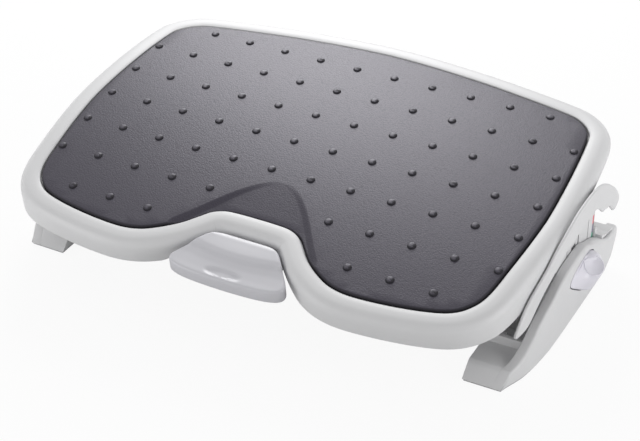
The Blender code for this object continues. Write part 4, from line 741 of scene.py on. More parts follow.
def tray_shape(sizes):
    """The tray: recess, rim, round shoulder, deep skirt, and the ribs and ears below its deck."""
    shape = bmesh.new()
    gap = sizes.mat_gap
    section = [(gap, -0.0061), (gap, -0.0021), (gap + 0.00015, -0.0016), (gap + 0.0006, -0.0012),
               (gap + 0.0014, -0.0009), (0.0055, -0.0003), (0.0080, 0.0), (RIM_WIDTH - SHOULDER_RADIUS, 0.0)]
    for k in range(1, 9):
        turn = math.pi / 2 * k / 8
        section.append((RIM_WIDTH - SHOULDER_RADIUS * (1 - math.sin(turn)),
                        -SHOULDER_RADIUS * (1 - math.cos(turn))))
    skirt = [(RIM_WIDTH, 0.0012), (RIM_WIDTH - 0.0003, 0.0004), (RIM_WIDTH - 0.0010, 0.0),
             (RIM_WIDTH - SKIRT_WALL + 0.0006, 0.0), (RIM_WIDTH - SKIRT_WALL, 0.0006)]
    deck = [(RIM_WIDTH - SKIRT_WALL, -DECK_DEPTH - 0.0015), (RIM_WIDTH - SKIRT_WALL - 0.0015, -DECK_DEPTH)]

    def ring(offset, height, share):
        return [(p.x, p.y, height - share * skirt_drop(p.x, p.y) - crown(p.y))
                for p in grown(mat_ring, offset)]

    rings = [ring(offset, height, 0) for offset, height in section]
    rings += [ring(offset, lift - TRAY_DEPTH, 1) for offset, lift in skirt]
    rings += [ring(offset, height, 0) for offset, height in deck]
    loops = loft(shape, rings, False, False)
    for loop in (loops[0], loops[-1]):
        for vert in loop:
            vert.co.z += crown(vert.co.y)
        points = [(0, index * CUT_PITCH, 0) for index in range(-21, 22)]
        for vert in verts_in(cut_cap(shape, [shape.faces.new(loop)], (0, 1, 0), points)):
            vert.co.z -= crown(vert.co.y)
    without_large_faces(shape)
    for y in RIB_PLACES:
        box(shape, (-RIB_REACH, y - RIB_HALF, RIB_LOW - crown(y)),
            (RIB_REACH, y + RIB_HALF, RIB_TOP - crown(y)), 0.0004)
    for x in (-SPINE_PLACE, SPINE_PLACE):
        side = [(RIB_PLACES[0], RIB_LOW), (RIB_PLACES[-1], RIB_LOW)]
        ys = [RIB_PLACES[-1] + (RIB_PLACES[0] - RIB_PLACES[-1]) * i / 16 for i in range(17)]
        side += [(y, RIB_TOP - crown(y)) for y in ys]
        loft(shape, along_x(side, (x - RIB_HALF, x + RIB_HALF)))
    for side in (-1, 1):
        for place in EAR_PLACES:
            ear(shape, PIVOT_Y, -PIVOT_DEPTH, EAR_HALF, EAR_TOP, EAR_BORE, side * place, EAR_WIDTH)
        ear(shape, PIN_Y, -PIN_DEPTH, 0.006, -0.0098, PIN_BORE, side * 0.0385, 0.005)
    return shape


def pedal_top(x, y):
    """Height of the pedal's top: a raised rear shelf, a crease bowed forward, and a shallow front."""
    a = (-PEDAL_REAR - y) / PEDAL_LENGTH
    bow = CREASE_BOW * (1 - min(abs(x) / CREASE_HALF_WIDTH, 1) ** 2)
    a -= bow * eased((a - 0.10) / 0.25) * (1 - eased((a - 0.50) / 0.45))
    for (a0, b0), (a1, b1) in zip(PEDAL_TOP_SHARES, PEDAL_TOP_SHARES[1:]):
        if a <= a1:
            break
    t = clamped((a - a0) / (a1 - a0))
    drop = b0 + (b1 - b0) * (eased(t) if 0.30 <= a0 < 0.46 else t)
    u = x / DISH_HALF_WIDTH
    v = (y + PEDAL_REAR + DISH_PLACE * PEDAL_LENGTH) / DISH_HALF_LENGTH
    return -PEDAL_TOP - drop * PEDAL_HEIGHT - DISH_DEPTH * eased((1 - u * u - v * v) * 1.6)


def pedal_plan():
    """The pedal seen from above, trimmed by the notch in the tray."""
    half = [(a * PEDAL_HALF_WIDTH, -PEDAL_REAR - b * PEDAL_LENGTH) for a, b in PEDAL_PLAN]
    ring = [p + Vector((PEDAL_SHIFT, 0)) for p in smooth(both_halves(half), 8)]
    limit = grown(tray_ring, 0.0012)

    def trimmed(line):
        return [nearest(limit, p) if inside(limit, p.x, p.y) else p for p in line]

    ring = trimmed(ring)
    even = spaced(ring + ring[:1], 241)[:-1]
    for _ in range(56):
        even = trimmed([(a + b * 2 + c) / 4 for (a, b), c in zip(pairs(even), even[1:] + even[:1])])
    return even


def pedal_shape(sizes):
    shape = bmesh.new()
    r = sizes.pedal_round
    plan = pedal_plan()
    bottom = -PEDAL_TOP - PEDAL_HEIGHT
    middle = -PEDAL_REAR - PEDAL_LENGTH / 2
    rings, tops = [], []
    for k in range(6):
        turn = math.pi / 2 * k / 5
        ring = grown(plan, -r * (1 - math.sin(turn)))
        rings.append([(p.x, p.y, -r * (1 - math.cos(turn))) for p in ring])
        tops.append(ring)
    for offset, height in ((0.0, bottom + 0.0012), (-0.0004, bottom + 0.0004), (-0.0012, bottom)):
        rings.append([(p.x, p.y, height) for p in grown(plan, offset)])
    loops = loft(shape, rings, False, True)
    for loop, ring in zip(loops[:6], tops):
        for vert in loop:
            vert.co.z += pedal_top(vert.co.x, vert.co.y)
    cap = [shape.faces.new(loops[0])]
    for vert in loops[0]:
        vert.co.z = 0
    pitch = 0.0016
    for normal, centre, count in ((Vector((0, 1, 0)), Vector((0, middle, 0)), 34),
                                  (Vector((1, 0, 0)), Vector((0, 0, 0)), 38)):
        cap = cut_cap(shape, cap, normal,
                      [centre + normal * (index + 0.13) * pitch for index in range(-count, count + 1)])
    for vert in verts_in(cap):
        vert.co.z = pedal_top(vert.co.x, vert.co.y)
    without_large_faces(shape)
    low, high = -PIN_DEPTH - LUG_HALF, -PIN_DEPTH + LUG_HALF
    for side in (-1, 1):
        x = side * LUG_PLACE
        box(shape, (x - 0.003, middle, low), (x + 0.003, PIN_Y - 0.001, bottom + 0.001), 0.0006)
        ear(shape, PIN_Y, -PIN_DEPTH, LUG_HALF, high, PIN_BORE, x, 0.006)
    box(shape, (-0.0327, middle, low + 0.0003), (0.0327, -PEDAL_REAR - 0.006, bottom + 0.001), 0.0006)
    box(shape, (-0.0025, -PEDAL_REAR - 0.012, low), (0.0025, PIN_Y - 0.0034, high - 0.0026), 0.0004)
    peg = -PIN_DEPTH - 0.0155
    ear(shape, PIN_Y, -PIN_DEPTH, LUG_HALF, high, PIN_BORE, 0, 0.005)
    box(shape, (-0.0022, PIN_Y - 0.0028, peg), (0.0022, PIN_Y + 0.0028, -PIN_DEPTH - 0.0040), 0.0004)
    turned(shape, [(0, -0.0025), (0.0026, -0.0025), (0.003, -0.0021), (0.003, 0.0021), (0.0026, 0.0025),
                   (0, 0.0025)], (0, PIN_Y, peg), (1, 0, 0), 24)
    return shape


# Pieces of the stands and the cradle, drawn for the right hand side

def along_plan(shape):
    """Bends what is drawn straight along the stand onto the plan of its outer face."""
    for vert in shape.verts:
        share = (vert.co.x - STAND_INNER) / (PANEL_FACE - STAND_INNER)
        shift = read_off(panel_plan, vert.co.y) - STAND_OUTER
        vert.co.x += shift * clamped(share)


def button_ring(spread, steps=4):
    y, z = BUTTON_CENTRE
    points = [(y + a * BUTTON_HALF_LENGTH, z + b * BUTTON_HALF_HEIGHT) for a, b in BUTTON_OUTLINE]
    return grown(smooth(points, steps), spread)


def stand_shape(sizes):
    """The stand: a bowed outer panel on a hollow foot, with guides and screw bosses inside."""
    chain = smooth(stand_side(PANEL_OUTLINE), 5, closed=False)
    # The upper edge dips a little between two places along the stand.
    for p in chain:
        p.y -= (LIP_DROP * eased((p.x - 0.030) / 0.020) * (1 - eased((p.x - 0.106) / 0.012))
                * eased((p.y - 0.030) / 0.008))
    front, rear = chain[0].x, chain[-1].x
    ring = clockwise(chain + [Vector((rear + (front - rear) * k / 40, SOLE)) for k in range(1, 40)])

    def rim(point):
        shoulder = 0.0032 * eased((point.x - 0.040) / 0.020) * eased((point.y - 0.040) / 0.012)
        return 0.0006 + (sizes.panel_round - 0.0006) * eased((point.y - 0.006) / 0.014) + shoulder

    panel = bmesh.new()
    pillow(panel, ring, PANEL_FACE, STAND_OUTER, 0.0012, rim, 6, "YZ")
    hole = bmesh.new()
    loft(hole, along_x(button_ring(0.0010), (STAND_OUTER - 0.012, STAND_OUTER + OVERRUN)))
    panel = carved(panel, [hole])
    sliced(panel, 1, CUT_PITCH / 2, -STAND_FRONT + 0.002, -STAND_FRONT + STAND_LENGTH)
    inner = PANEL_FACE + 0.002
    foot = [(-STAND_FRONT, SOLE), (-STAND_FRONT + 0.0115, SOLE + 0.0118),
            (-STAND_FRONT + 0.0145, FOOT_TOP - 0.0003), (-FOOT_REAR, FOOT_TOP), (-FOOT_REAR, SOLE)]
    shape = bmesh.new()
    pillow(shape, clockwise(foot), STAND_INNER, inner, 0.0006, 0.0002, 3, "YZ")
    box(shape, (HOLLOW_FROM, -FOOT_REAR - 0.001, SOLE), (inner, -FOOT_REAR + 0.003, 0.024), 0.0004)
    box(shape, (HOLLOW_FROM, -FOOT_REAR, SOLE), (inner, HEEL_FROM + 0.001, SOLE + 0.003), 0.0002)
    heel = [(HEEL_FROM, SOLE), (HEEL_FROM, HEEL_FLOOR), (WELL_REAR, HEEL_FLOOR), (WELL_REAR, 0.0385),
            (0.1120, 0.0385), (0.1185, 0.0300), (0.1165, 0.0200), (0.1095, 0.0105), (0.1000, 0.0055),
            (0.0921, SOLE)]
    pillow(shape, clockwise(heel), HOLLOW_FROM, inner, 0.0004, 0.0002, 2, "YZ")
    for edge, way in ((-COLUMN_FRONT - 0.0006, -1), (COLUMN_REAR + 0.0006, 1)):
        back, hook = edge + way * GUIDE_WALL, edge - way * GUIDE_HOOK
        box(shape, (PANEL_FACE - 0.016, min(edge, back), 0.004),
            (PANEL_FACE + 0.001, max(edge, back), 0.054), 0.0004)
        box(shape, (PANEL_FACE - 0.0157, min(edge, hook), 0.0043),
            (COLUMN_INNER - 0.0006, max(edge, hook), 0.0537), 0.0004)
    roof = [(0.0795, 0.0440), (0.0795, 0.0482), (0.0880, 0.0443), (0.0980, 0.0408), (0.1110, 0.0398),
            (0.1110, 0.0370)]
    pillow(shape, clockwise(roof), HOLLOW_FROM, STAND_OUTER - 0.002, 0.0004, 0.0006, 2, "YZ")
    for y in BOSS_PLACES:
        box(shape, (HOLLOW_FROM + 0.0003, y - 0.0045, 0.004),
            (HOLLOW_FROM + 0.0130, y + 0.0045, 0.0165), 0.0004)
    along_plan(panel)
    sliced(shape, 1, CUT_PITCH / 2, -STAND_FRONT + 0.002, STAND_LENGTH - STAND_FRONT)
    along_plan(shape)
    joined(shape, panel)
    return shape


def cover_shape():
    ring = clockwise(smooth(stand_side(COVER_OUTLINE[1:-1]), 5, closed=False)
                     + [Vector(p) for p in stand_side([COVER_OUTLINE[-1], COVER_OUTLINE[0]])])
    shape = bmesh.new()
    pillow(shape, ring, STAND_INNER, STAND_INNER + 0.003, 0.0007, 0.0004, 3, "YZ")
    return shape


def sole_shape():
    """The thin rubber sole."""
    edge = [p for p in panel_plan if p.y < 0.0905]
    ring = [Vector((STAND_INNER + 0.001, 0.0905)), Vector((edge[-1].x - 0.001, 0.0905))]
    ring += [Vector((p.x - 0.001, max(p.y, -STAND_FRONT + 0.001))) for p in reversed(edge)]
    ring += [Vector((STAND_INNER + 0.001, -STAND_FRONT + 0.001))]
    shape = bmesh.new()
    pillow(shape, clockwise(ring), 0, SOLE - CLEAR, 0.0004, 0.0003, 3)
    return shape


def cheek_outline(left):
    slope = math.tan(TILT)
    ring = smooth([(a * CHEEK_REACH, CHEEK_BOTTOM + b * CHEEK_HEIGHT) for a, b in CHEEK_OUTLINE], 4)
    if left:
        ring = [Vector((p.x, min(p.y, CENTRE_HEIGHT + p.x * slope - LEFT_CHEEK_DROP))) for p in ring]
    return clockwise(ring)


def bracket_shape(sizes, left):
    """The lift bracket: a slotted column, its bridge over the rim, the hooked cheek and the axle's boss."""
    column = bmesh.new()
    profile = [(-COLUMN_FRONT, COLUMN_BOTTOM + 0.004), (-COLUMN_FRONT + 0.004, COLUMN_BOTTOM),
               (COLUMN_REAR - 0.004, COLUMN_BOTTOM), (COLUMN_REAR, COLUMN_BOTTOM + 0.004),
               (COLUMN_REAR, COLUMN_TOP - 0.010), (0.070, COLUMN_TOP), (0.002, COLUMN_TOP),
               (-COLUMN_FRONT, COLUMN_TOP - 0.010)]
    pillow(column, clockwise(profile), COLUMN_INNER, COLUMN_OUTER, 0.0004, 0.0004, 3, "YZ")
    beyond, under, rear = COLUMN_OUTER + OVERRUN, COLUMN_BOTTOM - OVERRUN, COLUMN_REAR - 0.0008
    blocks = [((COLUMN_OUTER - depth, y - width / 2, under), (beyond, y + width / 2, COLUMN_TOP - 0.0065))
              for y, width, depth in GROOVES]
    # The scale's groove and the slot of the button's stem
    blocks += [((COLUMN_OUTER - 0.0009, rear - 0.004 - CLEAR, BAND_TOP - 4 * BAND_STEP - CLEAR),
                (beyond, rear + CLEAR, BAND_TOP + CLEAR)),
               ((COLUMN_INNER - OVERRUN, STEM_Y - 0.005, under),
                (beyond, STEM_Y + 0.005, STEM_Z + SLIDE_TRAVEL + 0.005))]
    shape = carved(column, [cutting_block(*block) for block in blocks])
    cheek = bmesh.new()
    outline = cheek_outline(left)
    r = sizes.cheek_round
    pillow(cheek, outline, 0, CHEEK_WALL, r, r, 4, "YZ")
    sliced(cheek, 1, CUT_PITCH / 2, -0.110, 0.122)
    for vert in cheek.verts:
        vert.co.x += cheek_face(vert.co.y)
    joined(shape, cheek)
    box(shape, (COLUMN_INNER + CLEAR, 0.004, COLUMN_TOP - 0.0035),
        (cheek_face(0.07) + 0.0015, 0.068, COLUMN_TOP - CLEAR), 0.0003)
    bore = AXLE_RADIUS + CLEAR
    boss = [(bore, 0), (BOSS_RADIUS - 0.0008, 0), (BOSS_RADIUS, 0.0008), (BOSS_RADIUS, BOSS_LENGTH),
            (bore, BOSS_LENGTH)]
    turned(shape, boss, (COLUMN_INNER - 0.024, AXLE_Y, AXLE_Z), (1, 0, 0), 48)
    half, tip = TOOTH_HALF, COLUMN_INNER - TOOTH_REACH
    for index in range(5):
        z = STEM_Z + (index - 1.5) * BAND_STEP
        for side in (-1, 1):
            near = STEM_Y + side * 0.006
            far = near + side * 0.008
            tooth = [(COLUMN_INNER + 0.001, z - half), (COLUMN_INNER, z - half), (tip, z - half / 2),
                     (tip, z + half / 2), (COLUMN_INNER, z + half), (COLUMN_INNER + 0.001, z + half)]
            loft(shape, [[(x, y, h) for x, h in tooth] for y in (min(near, far), max(near, far))])
    return shape


def button_shape():
    """The side button: an oval foot that swells to a round dished face, on its stem."""
    shape = bmesh.new()
    centre = Vector(BUTTON_CENTRE)
    oval = button_ring(0, 8)

    def radius(angle):
        aim = Vector((math.cos(angle), math.sin(angle)))
        met = [meeting(centre, aim, a, b - a) for a, b in pairs(oval)]
        return max(m[0] for m in met if m and m[0] > 0 and -1e-6 <= m[1] <= 1 + 1e-6)

    normal = BUTTON_AIM
    u = (Vector((0, 1, 0)) - normal * normal.y).normalized()
    v = normal.cross(u)
    if v.z < 0:
        v = -v
    angles = [math.tau * k / BUTTON_SIDES for k in range(BUTTON_SIDES)]
    foot = [centre + Vector((math.cos(t), math.sin(t))) * radius(t) for t in angles]

    def oval_ring(x, inset):
        return [Vector((x, p.x + (centre.x - p.x) * inset, p.y + (centre.y - p.y) * inset)) for p in foot]

    def disc(depth, r):
        return [BUTTON_FACE - normal * depth + (u * math.cos(t) + v * math.sin(t)) * r for t in angles]

    base, lip = STAND_OUTER - 0.0055, STAND_OUTER + 0.0002

    def raised(share, inset):
        """The oval lifted off the panel, most of all at its rear end."""
        ring = []
        for p in oval_ring(lip, inset):
            slope = normal.y * (p.y - BUTTON_FACE.y) + normal.z * (p.z - BUTTON_FACE.z)
            room = max(BUTTON_FACE.x - slope / normal.x - lip - 0.0003, 0)
            lift = share * POD_HEIGHT * eased((p.y - POD_FROM) / POD_RISE)
            ring.append(p + Vector((min(lift, room), 0, 0)))
        return ring

    rings = [oval_ring(base, 0.02), oval_ring(base + 0.0005, 0), oval_ring(lip, 0)]
    rings += [raised(0.25, 0.012), raised(0.50, 0.03), raised(0.72, 0.06), raised(0.88, 0.11)]
    low, waist = raised(1.0, 0.20), disc(0.0006, 0.0100)
    for k in range(7):
        t = k / 6
        rings.append([a.lerp(b, t) + normal * 0.0010 * math.sin(math.pi * t) for a, b in zip(low, waist)])
    rings += [disc(0.0002, 0.0097), disc(0.0, 0.0093), disc(0.0001, 0.0089), disc(0.0005, 0.0084)]
    for k in range(1, 8):
        t = k / 8
        rings.append(disc(0.0005 + 0.0019 * (1 - (1 - t) ** 2), 0.0084 * (1 - t)))
    loft(shape, rings)
    stem = [(0, 0), (STEM_RADIUS, 0), (STEM_RADIUS, STEM_LENGTH), (0, STEM_LENGTH)]
    turned(shape, stem, (STEM_END, STEM_Y, STEM_Z), (1, 0, 0), 32)
    return shape


# Finishes

class Wire:
    """A node's output, with arithmetic that adds Math nodes."""

    def __init__(self, nodes, socket):
        self.nodes = nodes
        self.socket = socket

    def maths(self, operation, first, second):
        return self.nodes.node("ShaderNodeMath", {"operation": operation}, {0: first, 1: second})

    def __add__(self, other):
        return self.maths("ADD", self, other)

    def __rsub__(self, other):
        return self.maths("SUBTRACT", other, self)

    def __mul__(self, other):
        return self.maths("MULTIPLY", self, other)

    def __gt__(self, other):
        return self.maths("GREATER_THAN", self, other)

    def kept_within(self, low, high):
        return self.nodes.node("ShaderNodeClamp", {}, {"Value": self, "Min": low, "Max": high})


class Nodes:
    """A node tree whose nodes are all added by one method."""

    def __init__(self, tree):
        self.tree = tree

    def node(self, kind, settings, inputs, output=0):
        """A node of a kind: its settings are set first, then the values or links of its sockets."""
        node = self.tree.nodes.new(kind)
        for key, value in settings.items():
            setattr(node, key, value)
        for key, value in inputs.items():
            self.feed(node.inputs[key], value)
        return Wire(self, node.outputs[output])

    def feed(self, socket, value):
        if isinstance(value, Wire):
            self.tree.links.new(value.socket, socket)
        elif socket.type == "RGBA" and len(value) == 3:
            socket.default_value = (*value, 1)
        else:
            socket.default_value = value


class Finish(Nodes):
    """The node tree of a new material."""

    def __init__(self, name):
        self.material = bpy.data.materials.new(name)
        self.material.use_nodes = True
        super().__init__(self.material.node_tree)
        self.shader = self.tree.nodes["Principled BSDF"]

    def place(self):
        return self.node("ShaderNodeTexCoord", {}, {}, "Object")

    def axis(self, name):
        return self.node("ShaderNodeSeparateXYZ", {}, {"Vector": self.place()}, name)

    def noise(self, size, detail, rough=0.5):
        return self.node("ShaderNodeTexNoise", {}, {"Vector": self.place(), "Scale": 1 / size,
                                                     "Detail": detail, "Roughness": rough}, "Fac")

    def pebbles(self, size):
        return self.node("ShaderNodeTexVoronoi", {"feature": "SMOOTH_F1"},
                         {"Vector": self.place(), "Scale": 1 / size, "Smoothness": 0.35}, "Distance")

    def mixed(self, share, first, second):
        return self.node("ShaderNodeMixRGB", {}, {"Fac": share, "Color1": first, "Color2": second})

    def bump(self, height, strength, distance):
        inputs = {"Height": height, "Strength": strength, "Distance": distance}
        return self.node("ShaderNodeBump", {}, inputs, "Normal")

    def set(self, **inputs):
        for name, value in inputs.items():
            self.feed(self.shader.inputs[name.replace("_", " ")], value)
        return self.material


def shade(colour, factor):
    return tuple(min(c * factor, 1) for c in colour)


def moulded(name, colour, grain, roughness, spread, depth=0.00002):
    """Moulded plastic: a fine spark grain, faint clouds in the colour and an uneven gloss."""
    finish = Finish(name)
    clouds = finish.noise(0.045, 3)
    spark = finish.noise(grain, 2, 0.6)
    hue = finish.mixed(clouds, shade(colour, 1 - spread), shade(colour, 1 + spread))
    gloss = (clouds * 0.08 + spark * 0.06 + (roughness - 0.07)).kept_within(0.05, 0.95)
    return finish.set(Base_Color=hue, Roughness=gloss, Normal=finish.bump(spark, 0.35, depth))


def metal(name, colour, roughness, grain):
    """Turned or drawn metal: fine scratches along the piece and slightly uneven colour."""
    finish = Finish(name)
    streaks = finish.node("ShaderNodeTexNoise", {}, {
        "Vector": finish.node("ShaderNodeMapping", {}, {"Vector": finish.place(), "Scale": (0.12, 1, 1)}),
        "Scale": 1 / grain, "Detail": 3.0}, "Fac")
    clouds = finish.noise(0.02, 2)
    hue = finish.mixed(clouds, shade(colour, 0.93), shade(colour, 1.05))
    gloss = (streaks * 0.16 + (roughness - 0.08)).kept_within(0.05, 0.95)
    return finish.set(Base_Color=hue, Roughness=gloss, Metallic=1.0,
                      Normal=finish.bump(streaks, 0.2, 0.00001))


def mat_finish(name, looks):
    """The mat: a soft pebbled skin whose hollows are darker and less glossy than its tops, with painted
    shade near black on the hem and the dots' sides.
    """
    finish = Finish(name)
    colour = looks.mat_colour
    pebbles = finish.pebbles(looks.mat_grain)
    fine = finish.noise(looks.mat_grain / 3, 2, 0.6)
    clouds = finish.noise(0.06, 3)
    skin = (pebbles * 0.8 + fine * 0.35).kept_within(0, 1)
    hue = finish.mixed(skin, shade(colour, 1.22), shade(colour, 0.72))
    hue = finish.mixed(clouds * 0.25, hue, shade(colour, 1.25))
    # Painted shade: where the edge layer is set, on the hem and on the dots' sides, the colour goes near
    # black to stand in for the shade there; these places are also rougher.
    edge = finish.node("ShaderNodeAttribute", {"attribute_name": "edge"}, {}, "Fac")
    hue = finish.mixed(edge, hue, shade(colour, 0.12))
    gloss = (skin * 0.14 + edge * 0.30 + 0.36).kept_within(0.1, 0.95)
    finish.set(Specular_Tint=(0.93, 0.90, 1.0, 1))
    return finish.set(Base_Color=hue, Roughness=gloss, Normal=finish.bump(1 - skin, 0.7, 0.0002))


def band_finish(name, looks):
    """The height scale: plain printed bands, red over slate over green."""
    finish = Finish(name)
    height = finish.axis("Z")
    ink = finish.noise(0.0006, 2, 0.6)
    low = finish.mixed(height > BAND_TOP - 2 * BAND_STEP, looks.band_green, looks.band_slate)
    hue = finish.mixed(height > BAND_TOP - BAND_STEP, low, looks.band_red)
    hue = finish.mixed(ink * 0.12, hue, (0.9, 0.9, 0.9))
    return finish.set(Base_Color=hue, Roughness=(ink * 0.15 + 0.35).kept_within(0.1, 0.9),
                      Normal=finish.bump(ink, 0.15, 0.00001))


def rubber(name, colour, grain, roughness):
    """Rubber: a dull skin with a coarse grain and dusty patches."""
    finish = Finish(name)
    dust = finish.noise(0.012, 4, 0.6)
    skin = finish.noise(grain, 2, 0.6)
    hue = finish.mixed(dust, shade(colour, 0.85), shade(colour, 1.2))
    gloss = (skin * 0.12 + (roughness - 0.06)).kept_within(0.1, 0.98)
    return finish.set(Base_Color=hue, Roughness=gloss, Normal=finish.bump(skin, 0.4, 0.00004))


FINISHES = {}


def finish_for(slot):
    """The finish of a slot, made once."""
    if slot not in FINISHES:
        looks = bpy.context.scene.footrest_finishes
        grain = looks.plastic_grain
        makers = {
            "grey_plastic": (moulded, looks.grey_plastic, grain, 0.46, 0.02),
            "dark_mat": (mat_finish, looks),
            "pedal_plastic": (moulded, looks.pedal_colour, grain, 0.34, 0.02, 0.00001),
            "button_plastic": (moulded, looks.button_colour, grain, 0.34, 0.02, 0.00001),
            "scale_print": (band_finish, looks),
            "sole_rubber": (rubber, (0.42, 0.42, 0.43), 0.0006, 0.75),
            "black_rubber": (rubber, (0.03, 0.03, 0.032), 0.0005, 0.8),
            "latch_plastic": (moulded, (0.10, 0.10, 0.11), grain, 0.5, 0.1),
            "bush_nylon": (moulded, (0.68, 0.66, 0.60), grain, 0.42, 0.04),
            "drum_metal": (metal, (0.42, 0.42, 0.43), 0.48, 0.0004),
            "steel": (metal, (0.58, 0.58, 0.59), 0.30, 0.0003),
        }
        maker, *values = makers[slot]
        FINISHES[slot] = maker(slot, *values)
    return FINISHES[slot]


def slot_of(node):
    """The record's material slot of a CAD node."""
    for part in frame["record"]["subparts"]:
        if node in (part.get("node"), part.get("name")):
            return part["material_slot"]
    raise RuntimeError("no material slot names " + node)


# Steps of the add-on

class FootrestStep(bpy.types.Operator):
    """Base of the steps that dress one piece or group of like pieces."""

    def add(self, name, shape, place, body, slot, node):
        """Adds a piece with its finish, the body it rides on and the solid it stands for."""
        piece = closed_piece(name, shape, place)
        piece.data.materials.append(finish_for(slot))
        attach(piece, body)
        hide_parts(node)
        return {"FINISHED"}

    def add_both(self, name, shapes, body, slot, node):
        """Adds the right hand piece and its mirrored left hand copy."""
        for side, shape in zip(SIDES, shapes):
            if side == "left":
                bmesh.ops.transform(shape, matrix=Matrix.Scale(-1, 4, (1, 0, 0)), verts=shape.verts)
            self.add(f"{side}_{name}", shape, LEVEL, body.format(side), slot, f"{side}_{node}")
        return {"FINISHED"}


class FOOTREST_OT_tray(FootrestStep):
    """Models the tray with its rim, skirt, ribs and ears"""

    bl_idname = "footrest.tray"
    bl_label = "Tray"

    def execute(self, context):
        shape = tray_shape(context.scene.footrest_sizes)
        return self.add("tray_shell", shape, ON_PLATFORM, "platform", "grey_plastic", "tray")


class FOOTREST_OT_mat(FootrestStep):
    """Models the mat with its sunk bell and domed dots"""

    bl_idname = "footrest.mat"
    bl_label = "Mat"

    def execute(self, context):
        shape = mat_shape(context.scene.footrest_sizes)
        return self.add("dotted_mat", shape, ON_PLATFORM, "platform", "dark_mat", "mat")


class FOOTREST_OT_pedal(FootrestStep):
    """Models the tilt pedal with its dish, lugs and arm"""

    bl_idname = "footrest.pedal"
    bl_label = "Pedal"

    def execute(self, context):
        shape = pedal_shape(context.scene.footrest_sizes)
        return self.add("tilt_pedal", shape, ON_PLATFORM, "pedal", "pedal_plastic", "pedal")


class FOOTREST_OT_stands(FootrestStep):
    """Models both stands with their covers and soles"""

    bl_idname = "footrest.stands"
    bl_label = "Stands"

    def execute(self, context):
        shells = [stand_shape(context.scene.footrest_sizes) for side in SIDES]
        self.add_both("stand_shell", shells, "{}_stand", "grey_plastic", "stand")
        covers = [cover_shape() for side in SIDES]
        self.add_both("cover_plate", covers, "{}_stand", "grey_plastic", "stand_cover")
        return self.add_both("sole_pad", [sole_shape() for side in SIDES], "{}_stand", "sole_rubber", "sole")


class FOOTREST_OT_brackets(FootrestStep):
    """Models both lift brackets with their columns and hooked cheeks"""

    bl_idname = "footrest.brackets"
    bl_label = "Lift brackets"

    def execute(self, context):
        shapes = [bracket_shape(context.scene.footrest_sizes, side == "left") for side in SIDES]
        return self.add_both("bracket_arm", shapes, "cradle", "grey_plastic", "lift_bracket")


class FOOTREST_OT_buttons(FootrestStep):
    """Models both side buttons with their dished faces"""

    bl_idname = "footrest.buttons"
    bl_label = "Side buttons"

    def execute(self, context):
        shapes = [button_shape() for side in SIDES]
        return self.add_both("height_button", shapes, "{}_button", "button_plastic", "button")


class FOOTREST_OT_frame_pieces(FootrestStep):
    """Gives every solid that still shows the finish of its slot"""

    bl_idname = "footrest.frame_pieces"
    bl_label = "Carried over pieces"

    def execute(self, context):
        for name, node in frame["nodes"].items():
            if node.hide_render:
                continue
            finish = finish_for(slot_of(name))
            if not node.material_slots:
                node.data.materials.append(finish)
            for holder in node.material_slots:
                holder.material = finish
        return {"FINISHED"}


def softbox(name, place, aim, size, power):
    """A round area lamp that looks from its place at aim."""
    lamp = bpy.data.lights.new(name, "AREA")
    lamp.shape = "DISK"
    lamp.size = size
    lamp.energy = power
    holder = bpy.data.objects.new(name, lamp)
    holder.location = place
    holder.rotation_euler = (Vector(aim) - Vector(place)).to_track_quat("-Z", "Y").to_euler()
    bpy.context.scene.collection.objects.link(holder)


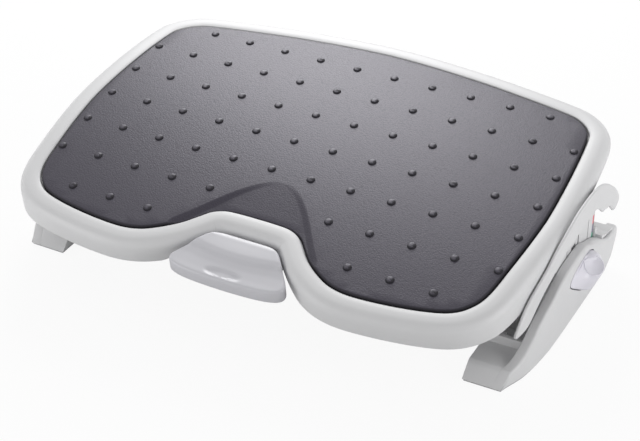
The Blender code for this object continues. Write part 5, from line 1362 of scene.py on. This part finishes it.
class FOOTREST_OT_stage(FootrestStep):
    """Builds the floor, the white surround, the soft lamps and the camera"""

    bl_idname = "footrest.stage"
    bl_label = "Stage"

    def execute(self, context):
        shape = bmesh.new()
        bmesh.ops.create_circle(shape, cap_ends=True, segments=96, radius=FLOOR_RADIUS)
        mesh = bpy.data.meshes.new("floor")
        shape.to_mesh(mesh)
        shape.free()
        floor = bpy.data.objects.new("floor", mesh)
        context.scene.collection.objects.link(floor)
        pale = Finish("pale_floor")
        pale.set(Base_Color=(0.86, 0.86, 0.86), Roughness=0.9)
        seen = pale.node("ShaderNodeLightPath", {}, {}, "Is Camera Ray")
        glow = pale.node("ShaderNodeEmission", {}, {"Color": (1, 1, 1), "Strength": 1.0})
        body = Wire(pale, pale.shader.outputs[0])
        mixed = pale.node("ShaderNodeMixShader", {}, {0: seen * FLOOR_GLOW, 1: body, 2: glow})
        pale.feed(pale.tree.nodes["Material Output"].inputs["Surface"], mixed)
        mesh.materials.append(pale.material)

        world = bpy.data.worlds.new("white_surround")
        context.scene.world = world
        world.use_nodes = True
        surround = Nodes(world.node_tree)
        rays = surround.node("ShaderNodeLightPath", {}, {}).socket.node.outputs
        seen = Wire(surround, rays["Is Camera Ray"])
        for ray in ("Is Glossy Ray", "Is Transmission Ray"):
            seen = seen.maths("MAXIMUM", seen, Wire(surround, rays[ray]))
        level = surround.node("ShaderNodeMapRange", {}, {"Value": seen, "To Min": SURROUND_LEVEL,
                                                         "To Max": 1.0})
        background = surround.tree.nodes["Background"]
        surround.feed(background.inputs["Strength"], level)
        surround.feed(background.inputs["Color"], (1, 1, 1))

        for lamp in LAMPS:
            softbox(*lamp)

        lens = bpy.data.cameras.new("photograph_view")
        lens.lens = CAMERA_LENS
        lens.sensor_width = 36
        lens.sensor_fit = "HORIZONTAL"
        lens.clip_end = 30
        camera = bpy.data.objects.new("photograph_view", lens)
        up = (-CAMERA_FORWARD).cross(CAMERA_RIGHT)
        turn = Matrix((CAMERA_RIGHT, up, -CAMERA_FORWARD)).transposed().to_4x4()
        camera.matrix_world = Matrix.Translation(CAMERA_PLACE) @ turn
        context.scene.collection.objects.link(camera)
        context.scene.camera = camera
        context.scene.view_settings.view_transform = "Standard"
        return {"FINISHED"}


class FOOTREST_PT_steps(bpy.types.Panel):
    """Lists the steps and the settings of the footrest"""

    bl_idname = "FOOTREST_PT_steps"
    bl_label = "Ergonomic footrest"
    bl_space_type = "VIEW_3D"
    bl_region_type = "UI"
    bl_category = "Footrest"

    def draw(self, context):
        for step in STEPS:
            self.layout.operator(step.bl_idname)
        for group in (context.scene.footrest_sizes, context.scene.footrest_finishes):
            column = self.layout.column()
            for name in group.__annotations__:
                column.prop(group, name)


STEPS = (FOOTREST_OT_tray, FOOTREST_OT_mat, FOOTREST_OT_pedal, FOOTREST_OT_stands, FOOTREST_OT_brackets,
         FOOTREST_OT_buttons, FOOTREST_OT_frame_pieces, FOOTREST_OT_stage)
CLASSES = (FootrestFinishes, FootrestSizes, *STEPS, FOOTREST_PT_steps)


def register():
    for each in CLASSES:
        bpy.utils.register_class(each)
    bpy.types.Scene.footrest_finishes = PointerProperty(type=FootrestFinishes)
    bpy.types.Scene.footrest_sizes = PointerProperty(type=FootrestSizes)


def unregister():
    del bpy.types.Scene.footrest_sizes
    del bpy.types.Scene.footrest_finishes
    for each in reversed(CLASSES):
        bpy.utils.unregister_class(each)


def main():
    register()
    bpy.ops.footrest.tray()
    bpy.ops.footrest.mat()
    bpy.ops.footrest.pedal()
    bpy.ops.footrest.stands()
    bpy.ops.footrest.brackets()
    bpy.ops.footrest.buttons()
    bpy.ops.footrest.frame_pieces()
    bpy.ops.footrest.stage()


if __name__ == "__main__":
    main()
